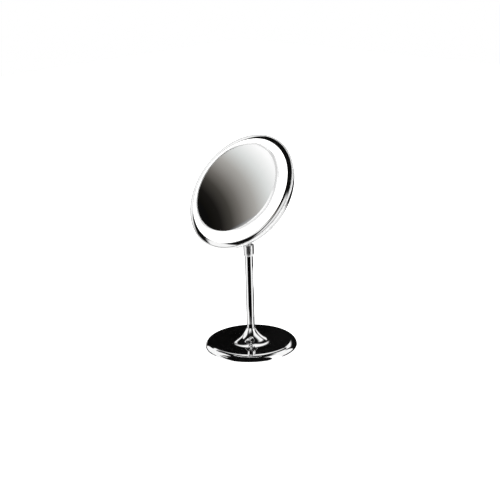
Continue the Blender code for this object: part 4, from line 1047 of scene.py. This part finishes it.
def make_cells():
    """Four dry cells side by side, their raised ends pointing up and down by turns."""
    half = CELL_HALF_LENGTH
    outline = [
        (0, half + NUB_HEIGHT),
        (NUB_R, half + NUB_HEIGHT, EASED),
        (NUB_R, half),
        (CELL_R - CELL_CRIMP, half, CRISP),
        (CELL_R, half - CELL_BEVEL, BROKEN),
        (CELL_R, -half + CELL_BEVEL, BROKEN),
        (CELL_R - CELL_BEVEL, -half, CRISP),
        (0, -half),
    ]
    for index in range(CELL_COUNT):
        way = 1 if index % 2 else -1
        turn = Matrix.Rotation(-way * math.pi / 2, 4, "X")
        place = in_face(CELL_PITCH * (index - (CELL_COUNT - 1) / 2), *CELL_MIDDLE) @ turn
        cell = turned(f"battery_cell_{index + 1}_sleeved", filleted(outline), place, MEDIUM)
        fitted(cell, "head", "cell_wrap", FINISHES["cell"], f"battery_cell_{index + 1}")


def make_shell():
    """The dish, with the bead round its edge, which has a finish of its own: near-white and only partly
    metallic, a painted highlight that stands in for the bright reflection along the polished rim.
    """
    outline = arc(BEAD_CENTRE, BEAD_R, BEAD_START_DEG, BEAD_END_DEG, BEAD_STEPS)
    for index in range(1, DISH_STEPS + 1):
        angle = math.radians(DISH_START_DEG + (90 - DISH_START_DEG) * index / DISH_STEPS)
        radius = DISH_FLAT_R + (DISH_R - DISH_FLAT_R) * math.cos(angle)
        outline.append((radius, DISH_EDGE_Z + (DISH_BACK_Z - DISH_EDGE_Z) * math.sin(angle)))
    outline.append((0, DISH_BACK_Z))
    shell = thickened(turned("head_shell_polished", outline, FACE), SHELL_WALL)
    cut(shell, *shell_openings())
    fitted(shell, "head", "polished_chrome", FINISHES["chrome"], "head_shell")
    # the bead's second finish is a painted highlight along the polished rim
    shell.data.materials.append(FINISHES["bead"])
    for face in shell.data.polygons:
        middle = face.center / MM
        if math.hypot(middle.x, middle.y) > BEAD_INNER_R and middle.z > BEAD_FOOT_Z:
            face.material_index = 1
    return shell


def flange_face():
    """The flange's rounded face: it leans outwards more and more from its bore to its rim."""
    first, last = (math.radians(slope) for slope in FLANGE_SLOPES_DEG)
    start = FLANGE_BORE_R + FLANGE_ROLL
    step = (FLANGE_R - start) / FLANGE_STEPS
    height = FLANGE_BORE_Z
    points = arc((start, height - FLANGE_ROLL), FLANGE_ROLL, *FLANGE_ROLL_DEG, FLANGE_ROLL_STEPS)
    for index in range(FLANGE_STEPS + 1):
        points.append((start + index * step, height))
        height -= step * math.tan(first + (last - first) * (index + 0.5) / FLANGE_STEPS)
    return points


def make_flange():
    thick = FLANGE_THICKNESS
    wall_r = FLANGE_BORE_R + thick
    face = flange_face()
    outline = [
        *face,
        (FLANGE_R, face[-1][1] - FLANGE_EDGE_THICKNESS),
        (wall_r, FLANGE_BORE_Z - thick),
        (wall_r, FLANGE_LEDGE_Z),
        (FLANGE_LEDGE_R, FLANGE_LEDGE_Z),
        (FLANGE_LEDGE_R, FLANGE_LEDGE_Z + thick),
        (FLANGE_BORE_R, FLANGE_LEDGE_Z + thick),
    ]
    flange = turned("front_flange_polished", outline, FACE, closed=True)
    return fitted(flange, "head", "plated_trim", FINISHES["chrome"], "front_flange")


def make_diffuser():
    """The frosted ring, its face bulging from the bezel down to a short skirt."""
    wall, chamfer = DIFFUSER_WALL, DIFFUSER_CHAMFER
    top, edge = (DIFFUSER_TOP_R, DIFFUSER_TOP_Z), (DIFFUSER_R - chamfer, DIFFUSER_EDGE_Z)
    inner_top = (DIFFUSER_TOP_R - wall / 4, DIFFUSER_TOP_Z - wall)
    inner_edge = (DIFFUSER_R - wall, DIFFUSER_EDGE_Z - wall / 2)
    outline = [
        (DIFFUSER_BORE_R, DIFFUSER_TOP_Z),
        *bulged(top, edge, DIFFUSER_BULGE, DIFFUSER_FACE_STEPS),
        (DIFFUSER_R, DIFFUSER_EDGE_Z - chamfer),
        (DIFFUSER_R, DIFFUSER_SKIRT_Z),
        (DIFFUSER_R - wall / 2, DIFFUSER_SKIRT_Z),
        *reversed(bulged(inner_top, inner_edge, DIFFUSER_BULGE, DIFFUSER_BACK_STEPS)),
        (DIFFUSER_BORE_R, DIFFUSER_TOP_Z - wall),
    ]
    ring = turned("diffuser_ring_frosted", outline, FACE, closed=True)
    return fitted(ring, "head", "frosted_acrylic", FINISHES["frosted"], "diffuser_ring")


def make_bezel():
    outline = [
        (BEZEL_BORE_R, BEZEL_BORE_Z + BEZEL_LIP),
        *bulged((BEZEL_CREST_R, BEZEL_CREST_Z), (BEZEL_R, BEZEL_FOOT_Z), BEZEL_BULGE, BEZEL_STEPS),
        (GLASS_R + CLEARANCE, BEZEL_FOOT_Z),
        (GLASS_R + CLEARANCE, BEZEL_BORE_Z),
        (BEZEL_BORE_R, BEZEL_BORE_Z),
    ]
    bezel = turned("mirror_bezel_polished", outline, FACE, closed=True)
    # The bezel's near-white finish is a painted reflection of the lit ring in polished metal.
    return fitted(bezel, "head", "white_moulding", FINISHES["bezel"], "mirror_bezel")


def glass_height(radius, edge_z):
    return edge_z - GLASS_SAG * (1 - (radius / GLASS_R) ** 2)


def make_glass():
    radii = [GLASS_R * index / GLASS_STEPS for index in range(GLASS_STEPS + 1)]
    front = [(radius, glass_height(radius, GLASS_EDGE_Z)) for radius in radii]
    back = [(radius, glass_height(radius, GLASS_EDGE_Z - GLASS_THICKNESS)) for radius in reversed(radii)]
    glass = turned("mirror_glass_silvered", [*front, *back], FACE)
    return fitted(glass, "head", "silvered_glass", FINISHES["silver"], "mirror_glass")


# Studio and camera


def make_floor():
    made = bmesh.new()
    bmesh.ops.create_grid(made, x_segments=1, y_segments=1, size=FLOOR_SIZE / 2)
    floor = from_bmesh("studio_floor", made)
    floor.location.z = CAD_BOX[0].z - FLOOR_DROP
    material = new_material(
        "floor", Base_Color=FLOOR_COLOUR, Roughness=1.0, Emission_Color=WHITE, Emission_Strength=FLOOR_LIGHT
    )
    floor.data.materials.append(material)
    floor.visible_glossy = False


def make_card(name, azimuth, half_width, bottom, top, fade, light):
    """An upright card that faces the stem and is seen only in polished metal."""
    made = bmesh.new()
    corners = ((-half_width, bottom), (half_width, bottom), (half_width, top), (-half_width, top))
    made.faces.new([made.verts.new((x * MM, -CARD_DISTANCE * MM, z * MM)) for x, z in corners])
    card = from_bmesh(name, made, Matrix.Rotation(math.radians(azimuth), 4, "Z"))
    material = new_material(
        name, Base_Color=BLACK, Emission_Color=WHITE, Emission_Strength=light, Specular_IOR_Level=0.0
    )
    if fade:
        feed(material, "Emission Color", card_glow(material.node_tree, bottom, top, fade))
    card.data.materials.append(material)
    card.visible_camera = False
    card.visible_diffuse = False
    card.visible_shadow = False


def card_glow(tree, bottom, top, fade):
    """White that fades to black at a card's top and bottom."""
    height = coordinates(tree)[2]
    low = smooth_step(tree, height, bottom * MM, (bottom + fade) * MM)
    high = smooth_step(tree, height, top * MM, (top - fade) * MM)
    glow = node_maths(tree, "MULTIPLY", low, high)
    return colour_ramp(tree, glow, ((0.0, BLACK[:3]), (1.0, WHITE[:3])))


def make_camera():
    azimuth, elevation, roll = CAMERA_AZIMUTH, CAMERA_ELEVATION, CAMERA_ROLL
    back = Vector(
        (
            math.sin(azimuth) * math.cos(elevation),
            -math.cos(azimuth) * math.cos(elevation),
            math.sin(elevation),
        )
    )
    level = Vector((0, 0, 1)).cross(back).normalized()
    upward = back.cross(level)
    right = level * math.cos(roll) - upward * math.sin(roll)
    up = level * math.sin(roll) + upward * math.cos(roll)
    camera = bpy.data.objects.new("camera", bpy.data.cameras.new("camera"))
    bpy.context.scene.collection.objects.link(camera)
    place = Matrix.Translation(CAMERA_TARGET + back * CAMERA_DISTANCE)
    camera.matrix_world = place @ Matrix((right, up, back)).transposed().to_4x4()
    camera.data.lens = CAMERA_LENS
    camera.data.shift_x, camera.data.shift_y = CAMERA_SHIFT
    bpy.context.scene.camera = camera


def sky_angles(tree):
    """The azimuth and elevation in degrees of the direction that a ray leaves in."""
    x, y, z = coordinates(tree, "Generated")
    azimuth = node_maths(tree, "ARCTAN2", x, node_maths(tree, "MULTIPLY", y, -1.0))
    elevation = node_maths(tree, "ARCSINE", z)
    return node_maths(tree, "DEGREES", azimuth), node_maths(tree, "DEGREES", elevation)


def soft_box(tree, azimuth, elevation, box):
    """The light of one soft box, by direction."""
    middle, half_width, side_edge, bottom, bottom_edge, top, top_edge, strength = box
    offset = node_maths(tree, "WRAP", node_maths(tree, "SUBTRACT", azimuth, middle), 180.0, -180.0)
    aside = node_maths(tree, "ABSOLUTE", offset)
    mask = smooth_step(tree, aside, half_width + side_edge, half_width - side_edge)
    above = smooth_step(tree, elevation, bottom - bottom_edge, bottom + bottom_edge)
    below = smooth_step(tree, elevation, top + top_edge, top - top_edge)
    mask = node_maths(tree, "MULTIPLY", mask, node_maths(tree, "MULTIPLY", above, below))
    return node_maths(tree, "MULTIPLY", mask, strength)


def key_light(tree, azimuth, elevation):
    """The colour and the mask of the big box in front of the glass.

    Its light fades out slowly towards its slanting upper edge.
    """
    slant = node_maths(tree, "MULTIPLY", node_maths(tree, "ADD", azimuth, -KEY_MIDDLE), -KEY_SLANT)
    height = node_maths(tree, "ADD", elevation, slant)
    light = colour_ramp(tree, map_range(tree, height, KEY_FADE_START, KEY_FADE_END), KEY_FADE)
    left, right = key_left(tree, azimuth, elevation), key_right(tree, azimuth, elevation)
    mask = node_maths(tree, "MULTIPLY", left, right)
    return light, node_maths(tree, "MULTIPLY", mask, key_opening(tree, azimuth, elevation))


def key_left(tree, azimuth, elevation):
    """The key light's left side, which steps in low down."""
    side = smooth_step(tree, azimuth, KEY_LEFT - KEY_EDGE, KEY_LEFT + KEY_EDGE)
    low = smooth_step(tree, elevation, *KEY_LOW)
    shut = node_maths(tree, "MULTIPLY", low, smooth_step(tree, azimuth, *reversed(KEY_LOW_LEFT)))
    return node_maths(tree, "MAXIMUM", node_maths(tree, "SUBTRACT", side, shut), 0.0)


def key_right(tree, azimuth, elevation):
    """The key light's right side, upright above KEY_CORNER_TOP and slanting below it."""
    side = smooth_step(tree, azimuth, KEY_RIGHT + KEY_EDGE, KEY_RIGHT - KEY_EDGE)
    both = node_maths(tree, "ADD", azimuth, elevation)
    corner = smooth_step(tree, both, KEY_CORNER_SUM + KEY_CORNER_EDGE, KEY_CORNER_SUM - KEY_CORNER_EDGE)
    above = smooth_step(tree, elevation, *KEY_CORNER_TOP)
    return mixed(tree, above, corner, side, kind="FLOAT")


def key_opening(tree, azimuth, elevation):
    """0 inside the dark wedge below the middle of the key light, 1 outside it."""
    drop = node_maths(tree, "SUBTRACT", GAP_TOP, elevation)
    width = node_maths(tree, "ADD", node_maths(tree, "MULTIPLY", drop, GAP_WIDENING), GAP_TOP_WIDTH)
    rise = node_maths(tree, "MAXIMUM", node_maths(tree, "SUBTRACT", elevation, GAP_LEAN_START), 0.0)
    side = node_maths(tree, "MULTIPLY_ADD", rise, -GAP_LEAN, GAP_RIGHT)
    aside = node_maths(tree, "SUBTRACT", side, azimuth)
    right = smooth_step(tree, aside, -GAP_EDGE, GAP_EDGE)
    left = smooth_step(tree, node_maths(tree, "SUBTRACT", width, aside), -GAP_EDGE, GAP_EDGE)
    top = smooth_step(tree, drop, -GAP_TOP_EDGE, GAP_TOP_EDGE)
    bottom = smooth_step(tree, elevation, GAP_BOTTOM - GAP_BOTTOM_EDGE, GAP_BOTTOM + GAP_BOTTOM_EDGE)
    across = node_maths(tree, "MULTIPLY", right, left)
    inside = node_maths(tree, "MULTIPLY", across, node_maths(tree, "MULTIPLY", top, bottom))
    return node_maths(tree, "SUBTRACT", 1.0, inside)


def studio_light(tree):
    """What polished metal sees by direction: the table, the soft boxes and the key light."""
    azimuth, elevation = sky_angles(tree)
    below = smooth_step(tree, elevation, TABLE_TOP + TABLE_EDGE, TABLE_TOP - TABLE_EDGE)
    total = node_maths(tree, "ADD", node_maths(tree, "MULTIPLY", below, TABLE_LIGHT), ROOM_LIGHT)
    for box in SOFT_BOXES:
        total = node_maths(tree, "ADD", total, soft_box(tree, azimuth, elevation, box))
    fade, mask = key_light(tree, azimuth, elevation)
    return mixed(tree, 1.0, total, mixed(tree, mask, BLACK, fade), blend="LIGHTEN")


def make_world():
    """Glossy rays see the studio's lights, and all others an even white."""
    world = bpy.data.worlds.new("studio")
    world.use_nodes = True
    tree = world.node_tree
    tree.nodes.clear()
    studio = tree.nodes.new("ShaderNodeBackground")
    tree.links.new(studio_light(tree), studio.inputs["Color"])
    white = tree.nodes.new("ShaderNodeBackground")
    white.inputs["Color"].default_value = WHITE
    chooser = tree.nodes.new("ShaderNodeMixShader")
    glossy = tree.nodes.new("ShaderNodeLightPath").outputs["Is Glossy Ray"]
    for socket, value in zip(chooser.inputs, (glossy, white.outputs[0], studio.outputs[0])):
        tree.links.new(value, socket)
    out = tree.nodes.new("ShaderNodeOutputWorld")
    tree.links.new(chooser.outputs[0], out.inputs["Surface"])
    bpy.context.scene.world = world
    bpy.context.scene.view_settings.view_transform = "Standard"


FINISHES = make_finishes()
# The nodes that keep their CAD shape, by finish
KEPT_NODES = {
    "iron": ("base_weight",),
    "zinc": (
        "base_bolt", "base_washer", "base_lock_washer", "stem_plug", "retaining_clip", "cross_pin",
        "yoke_plate", "yoke_screw_upper", "yoke_screw_lower", "spring_washer",
    ),
    "nylon": ("friction_bush", "guide_sleeve", "friction_washer_left", "friction_washer_right"),
    "foam": ("glass_pad",),
    "white": ("mirror_carrier", "reflector_ring", "battery_tray"),
    "white_board": ("led_board",),
    "green_board": ("driver_board",),
    "black": ("switch_body",),
    "nickel": (
        "battery_spring_1", "battery_spring_2", "battery_spring_3", "battery_spring_4",
        "contact_plate_left", "contact_plate_right", "contact_plate_middle",
    ),
    "red_lead": ("battery_lead_red", "led_lead_red"),
    "black_lead": ("battery_lead_black", "led_lead_black"),
}

make_camera()
make_world()
make_floor()
for name, card in CARDS.items():
    make_card(name, *card)
make_base_cover()
make_foot_pad()
make_tube()
make_collar()
make_rod()
make_knuckle()
make_yoke()
make_pivot_bolt()
make_nut()
make_shell()
make_flange()
make_diffuser()
make_bezel()
make_glass()
make_door()
make_button()
make_case_screws()
make_cells()
for finish, nodes in KEPT_NODES.items():
    for node in nodes:
        for slot in bpy.data.objects[node].material_slots:
            slot.material = FINISHES[finish]
